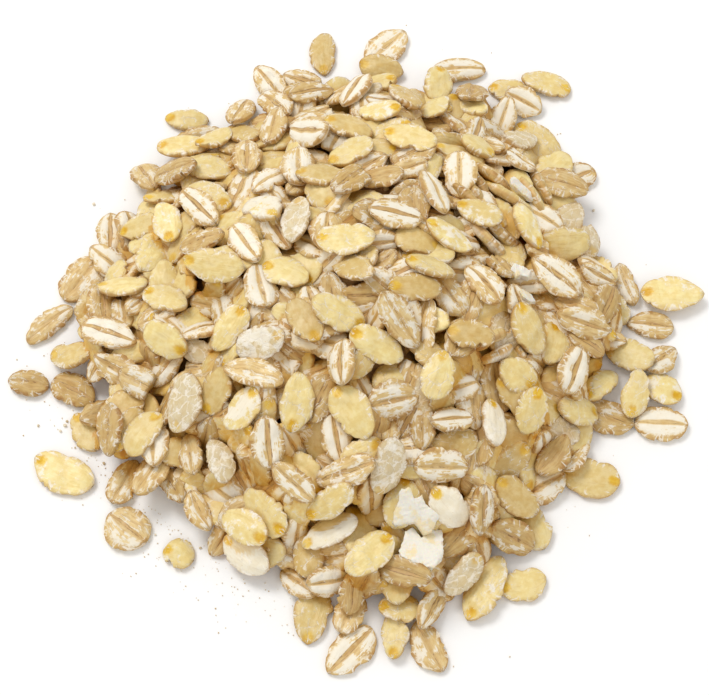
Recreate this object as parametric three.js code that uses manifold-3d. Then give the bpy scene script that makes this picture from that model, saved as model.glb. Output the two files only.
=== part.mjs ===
// A heap of rolled barley flakes poured out on a table, with a few flakes lying loose round its foot.
//
// Millimetres, +Z up. The table is the plane z = 0, and the origin lies on it under the middle of the whole.
// The heap is a packed core under a layer of real-size flakes that rest on it and on each other. The flakes
// are laid one by one: some by hand, where they are seen, and the others by a seeded rule, each where the
// heap still lacks height. Each comes to rest on what is below it. The flakes that show are fused to the
// core, so the heap is one solid. A flake that lies apart from the heap is a solid of its own.

import * as THREE from "three";
import { mergeVertices } from "three/addons/utils/BufferGeometryUtils.js";
import Module from "manifold-3d";

// ---------------------------------------------------------------- driving dimensions

const HEAP_HEIGHT = 18; // from the table to the middle of the top flakes
const APRON_HEIGHT = 2.4; // the heap's height at its rim, about two flakes
const CONE_POWER = 1.1; // 1 gives a rounded dome, and more a heap that is hollow towards its foot
const PEAK = [4, 1]; // where the top lies in plan
const MIDDLE = [0.8, 0.5]; // where the middle of the whole, with the loose flakes, lies in plan

// Plan radii every 20 degrees from +X towards +Y: of the heap's rim, and of the core's foot, which reaches
// under the flakes that lie out on the table.
const RIM_RADII = [
  44, 42.5, 45.5, 48, 48, 46, 43.5, 43.5, 44.5,
  45.5, 44, 42.5, 42, 44, 47.5, 46.5, 41.5, 42.5,
];
const FOOT_RADII = [
  50, 42.5, 44.5, 50, 50.5, 47, 47.5, 44, 43.5,
  46.5, 44, 42.5, 42, 47, 52, 48, 41, 49,
];

// The low swells on the heap's slopes: how high they are, the lengths of their waves along x and along y or
// along x - y, and how far on in its wave each starts, in radians.
const BROAD_SWELL = { height: 0.9, waveX: 37, waveY: 42, startX: 1.1, startY: 0.4 };
const CROSS_SWELL = { height: 0.5, wave: 20 };

const FLAKE_LENGTH = [6.3, 9.6]; // shortest and longest
const FLAKE_WIDTH_SHARE = [0.55, 0.72]; // of the length
const FLAKE_THICKNESS = [1.05, 1.5];
const FLAKE_CURL = 0.45; // the most that a flake's tips stand above or below its middle
const BROKEN_SHARE = 0.12; // of the flakes, which end in a break across them
const CREASE_DEPTH = 0.32; // of the groove along a grain's belly
const TIP_ROUND = [0.5, 0.72]; // 0.5 gives a round end, and more a pointed one
const OUTLINE_POWER = 2.2; // 2 gives an oval, and more one with fuller sides
const EDGE_THINNING = 0.85; // how much of its squared thickness a flake loses towards its edge

const LAYER_DEPTH = 11; // of the loose flakes over the packed middle
const CORE_DEPTH = 2.2; // how far the solid core stays under the heap's surface
const FUSE = 0.15; // added to each face of a flake, so that it fuses with what it lies on
const SHOWN_FLAKES = 189; // the number of flakes fused on, the most exposed first
const FUSED_STATIONS = 3; // the number of cross-sections that a fused flake is drawn through
const LOOSE_STATIONS = 7; // the same for a loose one
const SEED = 20517;

const STEEPEST = 0.8; // the slope at which a flake slides on until it lies flatter
const TUMBLED_SHARE = 0.2; // of the flakes, which are caught at a slope of up to TUMBLE on what is below them
const TUMBLE = 0.5;
const SETTLED_TILT = 0.12; // the same for the rest

// The goes in which flakes are laid: the heap's bulk, the flakes that close its gaps, and those that close
// the gaps between the uppermost. For each, how wide a place is judged, the least height it has to lack, how
// far a flake's highest point may stand over the heap's surface, and how many draws may fail.
const BULK = { reach: 2.2, least: 1.3, proud: 1.0, misses: 300 };
const COVER = { reach: 0.6, least: 2.0, proud: 2.1, misses: 900 };
const CLOSE = { reach: 0.6, least: 1.9, proud: 2.8, misses: 500 };

// Flakes laid by hand. For each: x and y of its middle, length, width, the turn from +X in degrees of the way
// from its germ to its far tip, and the face that lies up.

// Those at the foot of the heap, on the table.
const FOOT_FLAKES = [
  [47.6, -16.7, 8.3, 5.9, -3, "crease"],
  [-26.4, -37.6, 4.9, 4.7, -20, "back"],
  [-34.3, -33.5, 7.4, 7.0, -38, "crease"],
  [5.5, 53.0, 9.5, 6.3, 47, "crease"],
  [-9.0, 46.2, 7.0, 4.8, -17, "crease"],
  [-14.1, 45.0, 9.2, 4.8, -54, "crease"],
  [17.8, 48.4, 9.5, 4.8, 2, "crease"],
  [30.7, 34.0, 9.9, 6.9, -48, "back"],
  [36.4, 26.9, 8.2, 5.7, 27, "crease"],
  [47.2, 0.2, 7.5, 4.8, -7, "crease"],
  [43.8, 7.4, 7.7, 4.0, -74, "crease"],
  [48.0, -11.0, 6.8, 5.4, 152, "back"],
  [48.3, -5.8, 6.6, 4.9, 36, "crease"],
  [43.3, -5.0, 8.8, 5.8, -33, "back"],
  [39.0, -15.3, 9.4, 5.9, -20, "crease"],
  [36.0, -25.4, 9.3, 6.5, 169, "back"],
  [28.4, -27.0, 8.4, 5.6, 26, "crease"],
  [26.6, -33.4, 7.9, 5.9, -63, "back"],
  [25.0, -42.2, 7.4, 5.3, 12, "back"],
  [19.4, -43.0, 11.0, 5.6, 61, "back"],
  [10.9, -51.6, 8.4, 5.2, -63, "crease"],
  [6.0, -49.8, 7.6, 4.3, 85, "back"],
  [-0.6, -52.2, 9.3, 5.9, 45, "crease"],
  [-6.2, -46.8, 9.0, 5.7, 79, "back"],
  [-35.1, -26.2, 7.7, 4.9, 64, "crease"],
  [-41.6, -18.0, 7.2, 4.7, -59, "back"],
  [-44.0, -11.0, 7.7, 5.5, -29, "crease"],
  [-48.6, 0.4, 9.3, 4.2, 43, "crease"],
  [-44.1, 8.4, 9.0, 7.0, 56, "crease"],
  [-39.9, 16.6, 7.9, 4.8, 93, "crease"],
  [-28.4, 38.6, 7.4, 4.2, -5, "back"],
  [-26.3, 34.4, 8.5, 4.7, 20, "crease"],
  [-8.6, 42.2, 7.8, 4.8, 12, "back"],
  [4.6, 48.4, 7.8, 5.0, -10, "back"],
  [41.4, 3.2, 7.0, 4.3, -58, "back"],
  [39.6, 9.2, 6.6, 4.8, -40, "back"],
  [43.6, -12.2, 8.0, 4.6, 77, "back"],
  [33.6, -22.6, 7.0, 4.6, 50, "crease"],
  [-0.6, -47.0, 6.6, 4.8, 60, "crease"],
  [6.6, -46.3, 6.3, 4.5, -5, "back"],
  [11.4, -46.0, 8.0, 4.2, 62, "crease"],
  [-8.4, -42.2, 6.8, 4.0, -40, "crease"],
  [-39.2, -15.0, 7.6, 4.8, 30, "crease"],
  [26.4, 44.0, 7.4, 4.8, -15, "back"],
  [28.6, 41.4, 7.0, 5.2, -25, "crease"],
  [25.0, 38.2, 7.6, 4.6, 70, "crease"],
  [32.7, 45.5, 8.7, 5.2, 165, "back"],
  [50.9, 5.3, 10.2, 6.2, -3, "back"],
];

// Those that lie apart from the heap.
const LOOSE_FLAKES = [
  [-5.3, 51.9, 8.6, 4.7, 90, "back"],
  [-44.5, -24.6, 10.3, 6.4, -27, "back"],
  [-51.2, -9.8, 6.6, 4.5, -9, "crease"],
];

// Those that lie uppermost on the heap, the lower ones first.
const TOP_FLAKES = [
  [-0.2, 1.0, 9.0, 4.6, -38, "back"],
  [9.0, -2.5, 8.5, 4.6, 5, "back"],
  [11.3, 0.9, 8.0, 4.6, -10, "back"],
  [-20.6, -16.0, 8.0, 5.3, 60, "back"],
  [4.7, -28.0, 9.0, 5.2, 70, "back"],
  [-7.4, -7.3, 8.2, 4.8, 120, "back"],
  [-18.6, 12.3, 7.8, 4.6, -25, "back"],
  [-16.0, -38.4, 8.5, 6.0, -40, "back"],
  [-1.0, 30.0, 8.2, 5.0, -15, "back"],
  [-2.4, -6.5, 9.2, 5.3, 159, "back"],
  [3.3, -11.0, 8.9, 5.0, -24, "back"],
  [6.6, -7.8, 9.8, 5.2, -53, "crease"],
  [17.2, -9.2, 7.2, 4.7, -8, "back"],
  [12.1, -15.4, 7.8, 5.2, 255, "back"],
  [5.6, -18.6, 8.0, 6.3, 15, "crease"],
  [-0.4, -20.7, 9.2, 5.9, -55, "back"],
  [-8.6, -18.9, 9.0, 5.0, 82, "back"],
  [-1.7, -14.0, 7.5, 5.2, 90, "crease"],
  [20.6, -20.5, 7.6, 4.7, 275, "back"],
  [12.6, -27.7, 8.0, 5.6, 0, "crease"],
  [-1.3, -28.9, 9.5, 4.8, 12, "crease"],
  [14.3, 7.4, 8.6, 5.4, -22, "back"],
  [-1.3, 5.8, 9.0, 5.8, 0, "back"],
  [6.1, 9.9, 8.5, 5.4, -12, "crease"],
  [-8.9, 9.9, 8.3, 4.6, 260, "back"],
  [-5.2, 19.2, 8.2, 5.5, -10, "back"],
  [12.2, 15.0, 9.0, 4.9, -70, "crease"],
  [4.1, 34.1, 7.6, 5.2, 168, "back"],
  [-7.2, 29.3, 8.4, 5.4, -28, "crease"],
  [8.3, 37.5, 8.0, 4.6, -55, "back"],
  [0.2, 40.7, 9.4, 5.3, 65, "crease"],
  [19.5, 41.0, 7.6, 5.6, 80, "crease"],
  [19.7, 27.2, 6.2, 4.8, 150, "back"],
  [-29.0, 0.0, 8.2, 5.3, -30, "back"],
  [-38.0, -4.3, 9.3, 5.5, -20, "crease"],
  [-28.7, -7.0, 8.0, 5.7, 145, "back"],
  [-18.7, -6.9, 8.0, 5.0, 235, "back"],
  [-16.5, -19.5, 7.6, 5.4, 230, "back"],
  [-13.9, -9.8, 8.0, 5.7, 195, "back"],
  [-25.5, -17.3, 9.3, 6.2, 72, "back"],
  [-14.8, -14.8, 9.3, 4.9, -15, "crease"],
  [-12.6, -24.8, 8.0, 5.3, 95, "crease"],
  [-31.8, -20.6, 8.0, 5.6, 235, "back"],
  [-37.0, -19.8, 8.3, 4.6, 90, "crease"],
  [-21.3, 3.1, 9.8, 5.1, -12, "back"],
  [-16.6, 7.0, 8.8, 4.8, -60, "crease"],
  [-23.6, 8.7, 8.4, 4.5, 5, "crease"],
  [-14.2, 12.8, 9.2, 5.9, 130, "back"],
  [-24.4, 15.5, 9.3, 4.9, -50, "crease"],
  [-29.0, 24.8, 8.3, 4.5, 8, "crease"],
  [27.0, 11.8, 8.0, 4.8, 120, "back"],
  [31.1, 3.7, 9.2, 5.9, -35, "crease"],
  [35.3, -3.4, 9.5, 5.1, -10, "crease"],
  [26.3, -6.0, 8.6, 5.3, -65, "back"],
  [24.2, -13.6, 6.4, 5.5, 150, "back"],
  [33.3, -10.8, 7.8, 5.8, 70, "crease"],
  [26.3, -18.7, 7.6, 5.0, 250, "back"],
  [13.8, -33.0, 7.5, 5.6, -40, "back"],
  [18.6, -33.4, 7.5, 4.1, 85, "crease"],
  [7.0, -42.0, 9.0, 4.7, -20, "crease"],
  [-13.2, -33.0, 9.2, 5.9, 130, "back"],
  [-16.2, -35.3, 8.0, 5.2, 145, "back"],
  [-3.6, -36.2, 9.4, 4.5, 22, "back"],
  [-3.6, -33.0, 8.6, 4.5, 25, "back"],
  [-8.8, -30.5, 8.0, 4.5, -40, "crease"],
];

// ---------------------------------------------------------------- small helpers

const radians = (degrees) => (degrees * Math.PI) / 180;
const between = ([low, high], share) => low + (high - low) * share;

// The next of a fixed row of numbers from 0 to 1: a linear congruential generator of 32 bits.
let state = SEED;
function draw() {
  const FACTOR = 1664525;
  const STEP = 1013904223;
  state = (Math.imul(state, FACTOR) + STEP) >>> 0;
  return state / 2 ** 32;
}

// ---------------------------------------------------------------- the heap's form

// The plan radius in a direction, eased between the radii of a list that goes once round.
function radiusAt(angle, radii) {
  const turn = (angle / (2 * Math.PI) + 1) % 1;
  const place = turn * radii.length;
  const from = Math.floor(place) % radii.length;
  const share = place - Math.floor(place);
  const ease = share * share * (3 - 2 * share);
  return radii[from] + (radii[(from + 1) % radii.length] - radii[from]) * ease;
}
const rimRadius = (angle) => radiusAt(angle, RIM_RADII);

// 0 at the peak and 1 at the rim. The peak lies off the middle, and the rings round it drift towards it.
function outwardShare(x, y) {
  const reach = Math.min(1, Math.hypot(x, y) / rimRadius(Math.atan2(y, x)));
  const lean = 1 - reach;
  const px = x - PEAK[0] * lean;
  const py = y - PEAK[1] * lean;
  return Math.hypot(px, py) / rimRadius(Math.atan2(py, px));
}

// How far the swells raise or lower the heap at a place.
function swellAt(x, y) {
  const turn = 2 * Math.PI;
  const { height, waveX, waveY, startX, startY } = BROAD_SWELL;
  const broad = height * Math.sin((turn * x) / waveX + startX) * Math.sin((turn * y) / waveY + startY);
  const cross = CROSS_SWELL.height * Math.sin((turn * (x - y)) / CROSS_SWELL.wave);
  return broad + cross;
}

// The height that the finished heap has at a place: a rounded cone with a thin apron and a few low swells.
function heapSurface(x, y) {
  const out = outwardShare(x, y);
  if (out >= 1) return 0;
  const cone = Math.pow(Math.cos((out * Math.PI) / 2), CONE_POWER);
  return APRON_HEIGHT + (HEAP_HEIGHT - APRON_HEIGHT) * cone + swellAt(x, y) * (1 - out * out);
}

// ---------------------------------------------------------------- laying the flakes

const CELL = 0.5; // of the height map
const MAP_HALF = 64; // half the map's width
const MAP_CELLS = (2 * MAP_HALF) / CELL;
const heights = new Float64Array(MAP_CELLS * MAP_CELLS);
const topFlake = new Int32Array(MAP_CELLS * MAP_CELLS).fill(-1);

function cellAt(x, y) {
  const column = Math.floor((x + MAP_HALF) / CELL);
  const row = Math.floor((y + MAP_HALF) / CELL);
  return row * MAP_CELLS + column;
}

// Evenly spaced places on a flake, as shares of its half length and half width.
function spotsOnFlake(along, across) {
  const spots = [];
  for (let i = 0; i < along; i++) {
    for (let j = 0; j < across; j++) {
      const p = ((i + 0.5) / along) * 2 - 1;
      const q = ((j + 0.5) / across) * 2 - 1;
      if (p * p + q * q <= 1) spots.push([p, q]);
    }
  }
  return spots;
}
const FEW_SPOTS = spotsOnFlake(11, 8);
const MANY_SPOTS = spotsOnFlake(28, 18);

// Half the thickness at a place on a flake, which falls towards its edge.
function halfThickness(flake, p, q) {
  const out = p * p + q * q;
  return 0.5 * flake.thick * Math.sqrt(Math.max(1 - EDGE_THINNING, 1 - EDGE_THINNING * out * out));
}

// How far the flake's middle plane is bent up at a place along it, on average not at all.
const bendAt = (flake, p) => flake.curl * (p * p - 1 / 3);

// The three directions of a flake: along it, across it and out of its upper face.
function axesOf(flake) {
  const { turn, slopeX, slopeY } = flake;
  const along = new THREE.Vector3(
    Math.cos(turn),
    Math.sin(turn),
    slopeX * Math.cos(turn) + slopeY * Math.sin(turn),
  ).normalize();
  const up = new THREE.Vector3(-slopeX, -slopeY, 1).normalize();
  return { along, across: up.clone().cross(along), up };
}

// The tilt at which the flake's middle lies lowest with none of it under the surface: its resting tilt.
function restingSlope(flake) {
  const c = Math.cos(flake.turn);
  const s = Math.sin(flake.turn);
  const feet = FEW_SPOTS.map(([p, q]) => {
    const dx = 0.5 * (flake.length * p * c - flake.width * q * s);
    const dy = 0.5 * (flake.length * p * s + flake.width * q * c);
    const clear = halfThickness(flake, p, q) - bendAt(flake, p);
    return [dx, dy, heights[cellAt(flake.x + dx, flake.y + dy)] + clear];
  });
  const middle = (gx, gy) => {
    let highest = -1e9;
    for (const [dx, dy, h] of feet) highest = Math.max(highest, h - gx * dx - gy * dy);
    return highest;
  };
  const DIRECTIONS = 12;
  const FIRST_STEP = 0.4;
  const LAST_STEP = 0.01;
  let gx = 0;
  let gy = 0;
  let lowest = middle(gx, gy);
  for (let step = FIRST_STEP; step > LAST_STEP; ) {
    let best = null;
    for (let k = 0; k < DIRECTIONS; k++) {
      const nx = gx + step * Math.cos((2 * Math.PI * k) / DIRECTIONS);
      const ny = gy + step * Math.sin((2 * Math.PI * k) / DIRECTIONS);
      if (Math.hypot(nx, ny) > STEEPEST) continue;
      const z = middle(nx, ny);
      if (z < lowest - 1e-7) {
        lowest = z;
        best = [nx, ny];
      }
    }
    if (best) [gx, gy] = best;
    else step /= 2;
  }
  return [gx, gy];
}

// Lowers the flake until it touches what is below it.
function drop(flake) {
  const { along, across, up } = axesOf(flake);
  let z = -1e9;
  for (const [p, q] of MANY_SPOTS) {
    const l = 0.5 * flake.length * p;
    const w = 0.5 * flake.width * q;
    const d = bendAt(flake, p) - halfThickness(flake, p, q);
    const x = flake.x + l * along.x + w * across.x + d * up.x;
    const y = flake.y + l * along.y + w * across.y + d * up.y;
    z = Math.max(z, heights[cellAt(x, y)] - (l * along.z + w * across.z + d * up.z));
  }
  flake.z = z;
}

// Adds the flake's upper face to the height map.
function stamp(flake, index) {
  const { along, across, up } = axesOf(flake);
  for (const [p, q] of MANY_SPOTS) {
    const l = 0.5 * flake.length * p;
    const w = 0.5 * flake.width * q;
    const d = bendAt(flake, p) + halfThickness(flake, p, q);
    const x = flake.x + l * along.x + w * across.x + d * up.x;
    const y = flake.y + l * along.y + w * across.y + d * up.y;
    const z = flake.z + l * along.z + w * across.z + d * up.z;
    const cell = cellAt(x, y);
    if (z > heights[cell]) {
      heights[cell] = z;
      topFlake[cell] = index;
    }
  }
}

// How high the highest point of the flake's outline lies.
function highestPoint(flake) {
  const { along, across } = axesOf(flake);
  return flake.z + 0.5 * Math.hypot(flake.length * along.z, flake.width * across.z);
}

// A flake's own form, from the next draws.
function drawForm() {
  const form = {
    thick: between(FLAKE_THICKNESS, draw()),
    curl: FLAKE_CURL * (2 * draw() - 1),
    startRound: between(TIP_ROUND, draw()),
    endRound: between(TIP_ROUND, draw()),
  };
  form.breakAt = draw() < BROKEN_SHARE ? 0.15 + 0.5 * draw() : 1;
  return form;
}

const flakes = [];
function lay(flake) {
  drop(flake);
  stamp(flake, flakes.length);
  flakes.push(flake);
}

function layByHand([x, y, length, width, turn, face]) {
  const flake = { x, y, length, width, turn: radians(turn), creaseUp: face === "crease", ...drawForm() };
  flake.byHand = true;
  flake.breakAt = 1;
  flake.curl *= 0.5;
  [flake.slopeX, flake.slopeY] = restingSlope(flake);
  lay(flake);
}

// True where a flake's outline comes over a loose flake or close to it.
function nearLooseFlake(flake) {
  const CLEAR = 0.8;
  return LOOSE_FLAKES.some(([x, y, length, width, turn]) => {
    const c = Math.cos(radians(turn));
    const s = Math.sin(radians(turn));
    for (let k = 0; k < 16; k++) {
      const a = (k * Math.PI) / 8;
      const l = 0.5 * flake.length * Math.cos(a);
      const w = 0.5 * flake.width * Math.sin(a);
      const dx = flake.x + l * Math.cos(flake.turn) - w * Math.sin(flake.turn) - x;
      const dy = flake.y + l * Math.sin(flake.turn) + w * Math.cos(flake.turn) - y;
      const inLength = (dx * c + dy * s) / (0.5 * length + CLEAR);
      const inWidth = (dy * c - dx * s) / (0.5 * width + CLEAR);
      if (inLength * inLength + inWidth * inWidth < 1) return true;
    }
    return false;
  });
}

// How much height the heap still lacks round a place.
function lackAt(x, y, reach) {
  let sum = heights[cellAt(x, y)];
  for (let k = 0; k < 6; k++) {
    const a = (k * Math.PI) / 3;
    sum += heights[cellAt(x + reach * Math.cos(a), y + reach * Math.sin(a))];
  }
  return heapSurface(x, y) - sum / 7;
}

// The neediest of a few places drawn at random.
function drawPlace(reach) {
  const TRIES = 10;
  let best = { lack: -1e9 };
  for (let k = 0; k < TRIES; k++) {
    const angle = 2 * Math.PI * draw();
    const radius = Math.sqrt(draw()) * rimRadius(angle);
    const x = radius * Math.cos(angle);
    const y = radius * Math.sin(angle);
    const lack = lackAt(x, y, reach);
    if (lack > best.lack) best = { x, y, lack };
  }
  return best;
}

// A flake at a place, lying as it comes to rest there and often caught at a small tilt of its own.
function drawFlake(place) {
  const length = between(FLAKE_LENGTH, (draw() + draw()) / 2);
  const width = length * between(FLAKE_WIDTH_SHARE, draw());
  const turn = 2 * Math.PI * draw();
  const creaseUp = draw() < 0.5;
  const flake = { x: place.x, y: place.y, length, width, turn, creaseUp, ...drawForm() };
  const tumble = draw() < TUMBLED_SHARE ? TUMBLE : SETTLED_TILT;
  const [gx, gy] = restingSlope(flake);
  flake.slopeX = gx + tumble * (2 * draw() - 1);
  flake.slopeY = gy + tumble * (2 * draw() - 1);
  drop(flake);
  return flake;
}

// Lays flakes until no place drawn lacks more than the least, or too few come to rest low enough.
function layLayer({ reach, least, proud, misses }) {
  let missed = 0;
  while (missed < misses) {
    const place = drawPlace(reach);
    if (place.lack < least) {
      missed++;
      continue;
    }
    const flake = drawFlake(place);
    const tooHigh = highestPoint(flake) > heapSurface(flake.x, flake.y) + proud;
    if (tooHigh || nearLooseFlake(flake)) missed++;
    else lay(flake);
  }
}

for (let row = 0; row < MAP_CELLS; row++) {
  for (let column = 0; column < MAP_CELLS; column++) {
    const x = (column + 0.5) * CELL - MAP_HALF;
    const y = (row + 0.5) * CELL - MAP_HALF;
    heights[row * MAP_CELLS + column] = Math.max(0, heapSurface(x, y) - LAYER_DEPTH);
  }
}
LOOSE_FLAKES.forEach(layByHand);
FOOT_FLAKES.forEach(layByHand);
layLayer(BULK);
layLayer(COVER);
TOP_FLAKES.forEach(layByHand);
layLayer(CLOSE);

// ---------------------------------------------------------------- shapes

// Half the width of a flake at a share of its half length.
function halfWidth(flake, share) {
  const round = share < 0 ? flake.startRound : flake.endRound;
  return 0.5 * flake.width * Math.pow(1 - Math.pow(Math.abs(share), OUTLINE_POWER), round);
}

// Where a flake's sections stand, as shares of its half length. A broken flake has its last at the break.
function stationShares(flake, count) {
  const shares = [];
  for (let k = 1; k <= count; k++) {
    const whole = -Math.cos((Math.PI * k) / (count + 1));
    const broken = -1 + (flake.breakAt + 1) * (1 - Math.cos((Math.PI * k) / (2 * count)));
    shares.push(flake.breakAt < 1 ? broken : whole);
  }
  return shares;
}

// Points of a flake's cross-section, each [share of the half width, face]: face 1 is the belly with its
// crease, -1 the back and 0 the edge.
const BELLY_SECTION = [[-1, 0], [-0.5, 1], [0, 1], [0.5, 1], [1, 0], [0, -1]];
const BACK_SECTION = [[-1, 0], [0, 1], [1, 0], [0, -1]];
const FULL_SECTION = [
  [-1, 0], [-0.8, 1], [-0.35, 1], [-0.14, 1], [0, 1], [0.14, 1], [0.35, 1], [0.8, 1],
  [1, 0], [0.75, -1], [0, -1], [-0.75, -1],
];

// A flake as a loft: sections along its length that close at both ends, with the belly up.
function flakeGeometry(flake, section, stations, fuse) {
  const points = [];
  const faces = [];
  const place = (share, v, face) => {
    const y = halfWidth(flake, share) * v;
    const q = y / (0.5 * flake.width);
    const crease = face > 0 && Math.abs(v) < 0.1 ? CREASE_DEPTH * (1 - share * share) : 0;
    const side = flake.creaseUp ? 1 : -1; // the middle plane bends with the flake as it lies
    const z = side * bendAt(flake, share) + face * (halfThickness(flake, share, q) + fuse) - crease;
    points.push(0.5 * flake.length * share, y, z);
  };
  for (const share of stationShares(flake, stations)) {
    for (const [v, face] of section) place(share, v, face);
  }
  const count = section.length;
  place(-1, 0, 0);
  place(flake.breakAt, 0, 0);
  const startTip = stations * count;
  const endTip = startTip + 1;
  for (let j = 0; j < count; j++) {
    const next = (j + 1) % count;
    faces.push(startTip, j, next);
    for (let k = 0; k < stations - 1; k++) {
      const a = k * count;
      const b = a + count;
      faces.push(a + j, b + j, a + next, a + next, b + j, b + next);
    }
    const end = (stations - 1) * count;
    faces.push(endTip, end + next, end + j);
  }
  const geometry = new THREE.BufferGeometry();
  geometry.setAttribute("position", new THREE.Float32BufferAttribute(points, 3));
  geometry.setIndex(faces);
  return geometry;
}

// The turn and the move that bring a flake's geometry to where it lies. One with its back up is turned over.
function placeOf(flake) {
  const { along, across, up } = axesOf(flake);
  if (!flake.creaseUp) {
    across.negate();
    up.negate();
  }
  return new THREE.Matrix4().makeBasis(along, across, up).setPosition(flake.x, flake.y, flake.z);
}

// The mean height of what has been laid round a place.
function laidHeight(x, y) {
  const REACH = 2;
  let sum = heights[cellAt(x, y)];
  for (let k = 0; k < 12; k++) {
    const a = (k * Math.PI) / 6;
    const r = k % 2 ? REACH : 0.5 * REACH;
    sum += heights[cellAt(x + r * Math.cos(a), y + r * Math.sin(a))];
  }
  return sum / 13;
}

// The packed middle: rings from the heap's middle out to the core's rim, an upright edge and a flat foot.
function coreGeometry() {
  const SECTORS = 40;
  const RINGS = 10;
  const EDGE_HEIGHT = 0.5;
  const points = [0, 0, laidHeight(0, 0) - CORE_DEPTH, 0, 0, 0];
  const faces = [];
  const ringStart = (ring) => 2 + (ring - 1) * SECTORS;
  for (let ring = 1; ring <= RINGS + 1; ring++) {
    for (let k = 0; k < SECTORS; k++) {
      const angle = (2 * Math.PI * k) / SECTORS;
      const radius = (radiusAt(angle, FOOT_RADII) * Math.min(ring, RINGS)) / RINGS;
      const x = radius * Math.cos(angle);
      const y = radius * Math.sin(angle);
      const top = ring < RINGS ? Math.max(EDGE_HEIGHT, laidHeight(x, y) - CORE_DEPTH) : EDGE_HEIGHT;
      points.push(x, y, ring > RINGS ? 0 : top);
    }
  }
  for (let k = 0; k < SECTORS; k++) {
    const next = (k + 1) % SECTORS;
    faces.push(0, ringStart(1) + k, ringStart(1) + next);
    faces.push(1, ringStart(RINGS + 1) + next, ringStart(RINGS + 1) + k);
    for (let ring = 1; ring <= RINGS; ring++) {
      const a = ringStart(ring);
      const b = ringStart(ring + 1);
      faces.push(a + k, b + k, a + next, a + next, b + k, b + next);
    }
  }
  const geometry = new THREE.BufferGeometry();
  geometry.setAttribute("position", new THREE.Float32BufferAttribute(points, 3));
  geometry.setIndex(faces);
  return geometry;
}

// ---------------------------------------------------------------- joining with manifold-3d

const wasm = await Module();
wasm.setup();

function toSolid(geometry) {
  const bare = new THREE.BufferGeometry().setAttribute("position", geometry.getAttribute("position"));
  bare.setIndex(geometry.index);
  const merged = mergeVertices(bare, 1e-4);
  return new wasm.Manifold(
    new wasm.Mesh({
      numProp: 3,
      vertProperties: new Float32Array(merged.attributes.position.array),
      triVerts: new Uint32Array(merged.index.array),
    }),
  );
}

function toGeometry(solid) {
  const mesh = solid.getMesh();
  const geometry = new THREE.BufferGeometry();
  geometry.setAttribute("position", new THREE.BufferAttribute(mesh.vertProperties, 3));
  geometry.setIndex(new THREE.BufferAttribute(mesh.triVerts, 1));
  geometry.computeVertexNormals();
  return geometry;
}

// The numbers of the heap's flakes, the most exposed first. The list of flakes starts with the loose ones.
function mostExposed(count) {
  const shown = new Array(flakes.length).fill(0);
  for (const index of topFlake) {
    if (index >= 0) shown[index]++;
  }
  const order = flakes.map((_, index) => index).slice(LOOSE_FLAKES.length);
  order.sort((a, b) => shown[b] - shown[a] || a - b);
  return order.slice(0, count);
}

// Draws the middle of a flake's underside down into the core, and inwards where the flake lies out on the
// table, so that no gap is left under the flake.
function footed(flake, geometry, section) {
  const INTO_CORE = 4;
  const under = section.findIndex(([v, face]) => v === 0 && face === (flake.creaseUp ? -1 : 1));
  const position = geometry.getAttribute("position");
  const index = section.length * ((FUSED_STATIONS - 1) / 2) + under; // in the middle section
  const out = Math.hypot(position.getX(index), position.getY(index));
  const foot = radiusAt(Math.atan2(position.getY(index), position.getX(index)), FOOT_RADII);
  const pull = Math.min(1, (foot - 0.5 * CORE_DEPTH) / out);
  const x = position.getX(index) * pull;
  const y = position.getY(index) * pull;
  const bottom = Math.max(0, laidHeight(x, y) - CORE_DEPTH - INTO_CORE);
  position.setXYZ(index, x, y, Math.min(position.getZ(index), bottom));
  return geometry;
}

function heapGeometry() {
  const solids = mostExposed(SHOWN_FLAKES).map((index) => {
    const flake = flakes[index];
    const section = flake.creaseUp && flake.byHand ? BELLY_SECTION : BACK_SECTION;
    const geometry = flakeGeometry(flake, section, FUSED_STATIONS, FUSE).applyMatrix4(placeOf(flake));
    return toSolid(footed(flake, geometry, section));
  });
  const joined = wasm.Manifold.union([toSolid(coreGeometry()), ...solids]).trimByPlane([0, 0, 1], 0);
  const pieces = joined.decompose();
  pieces.sort((a, b) => b.volume() - a.volume());
  return toGeometry(pieces[0]);
}

// ---------------------------------------------------------------- the part

const barley = new THREE.MeshStandardMaterial({ color: 0xd9bd88, roughness: 0.62, metalness: 0 });
const looseBarley = new THREE.MeshStandardMaterial({ color: 0xe4cf9c, roughness: 0.6, metalness: 0 });

const part = new THREE.Group();
const spill = new THREE.Group(); // everything, in the axes of the radii and the tables above
spill.position.set(-MIDDLE[0], -MIDDLE[1], 0);
part.add(spill);

const heap = new THREE.Mesh(heapGeometry(), barley);
heap.name = "barley_heap";
spill.add(heap);

LOOSE_FLAKES.forEach((_, index) => {
  const flake = flakes[index];
  const mesh = new THREE.Mesh(flakeGeometry(flake, FULL_SECTION, LOOSE_STATIONS, 0), looseBarley);
  mesh.name = `loose_flake_${index + 1}`;
  mesh.applyMatrix4(placeOf(flake));
  spill.add(mesh);
});

export default part;
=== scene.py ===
# A heap of rolled barley flakes on a pale table, with a few flakes lying loose round its foot.
#
# The flakes are laid in millimetres by the same seeded rule as in the part's source, so each lies where the
# solids have it. More flakes then fill the gaps, and a few stand on edge. Every flake gets its own fine
# surface: a crease or a rounded back, a nicked rim, a germ at one tip, and bran and starch in its colours.
# Slabs of starch and crumbs come last. Metres are only used from the finished points on.

import math
from types import SimpleNamespace

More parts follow.
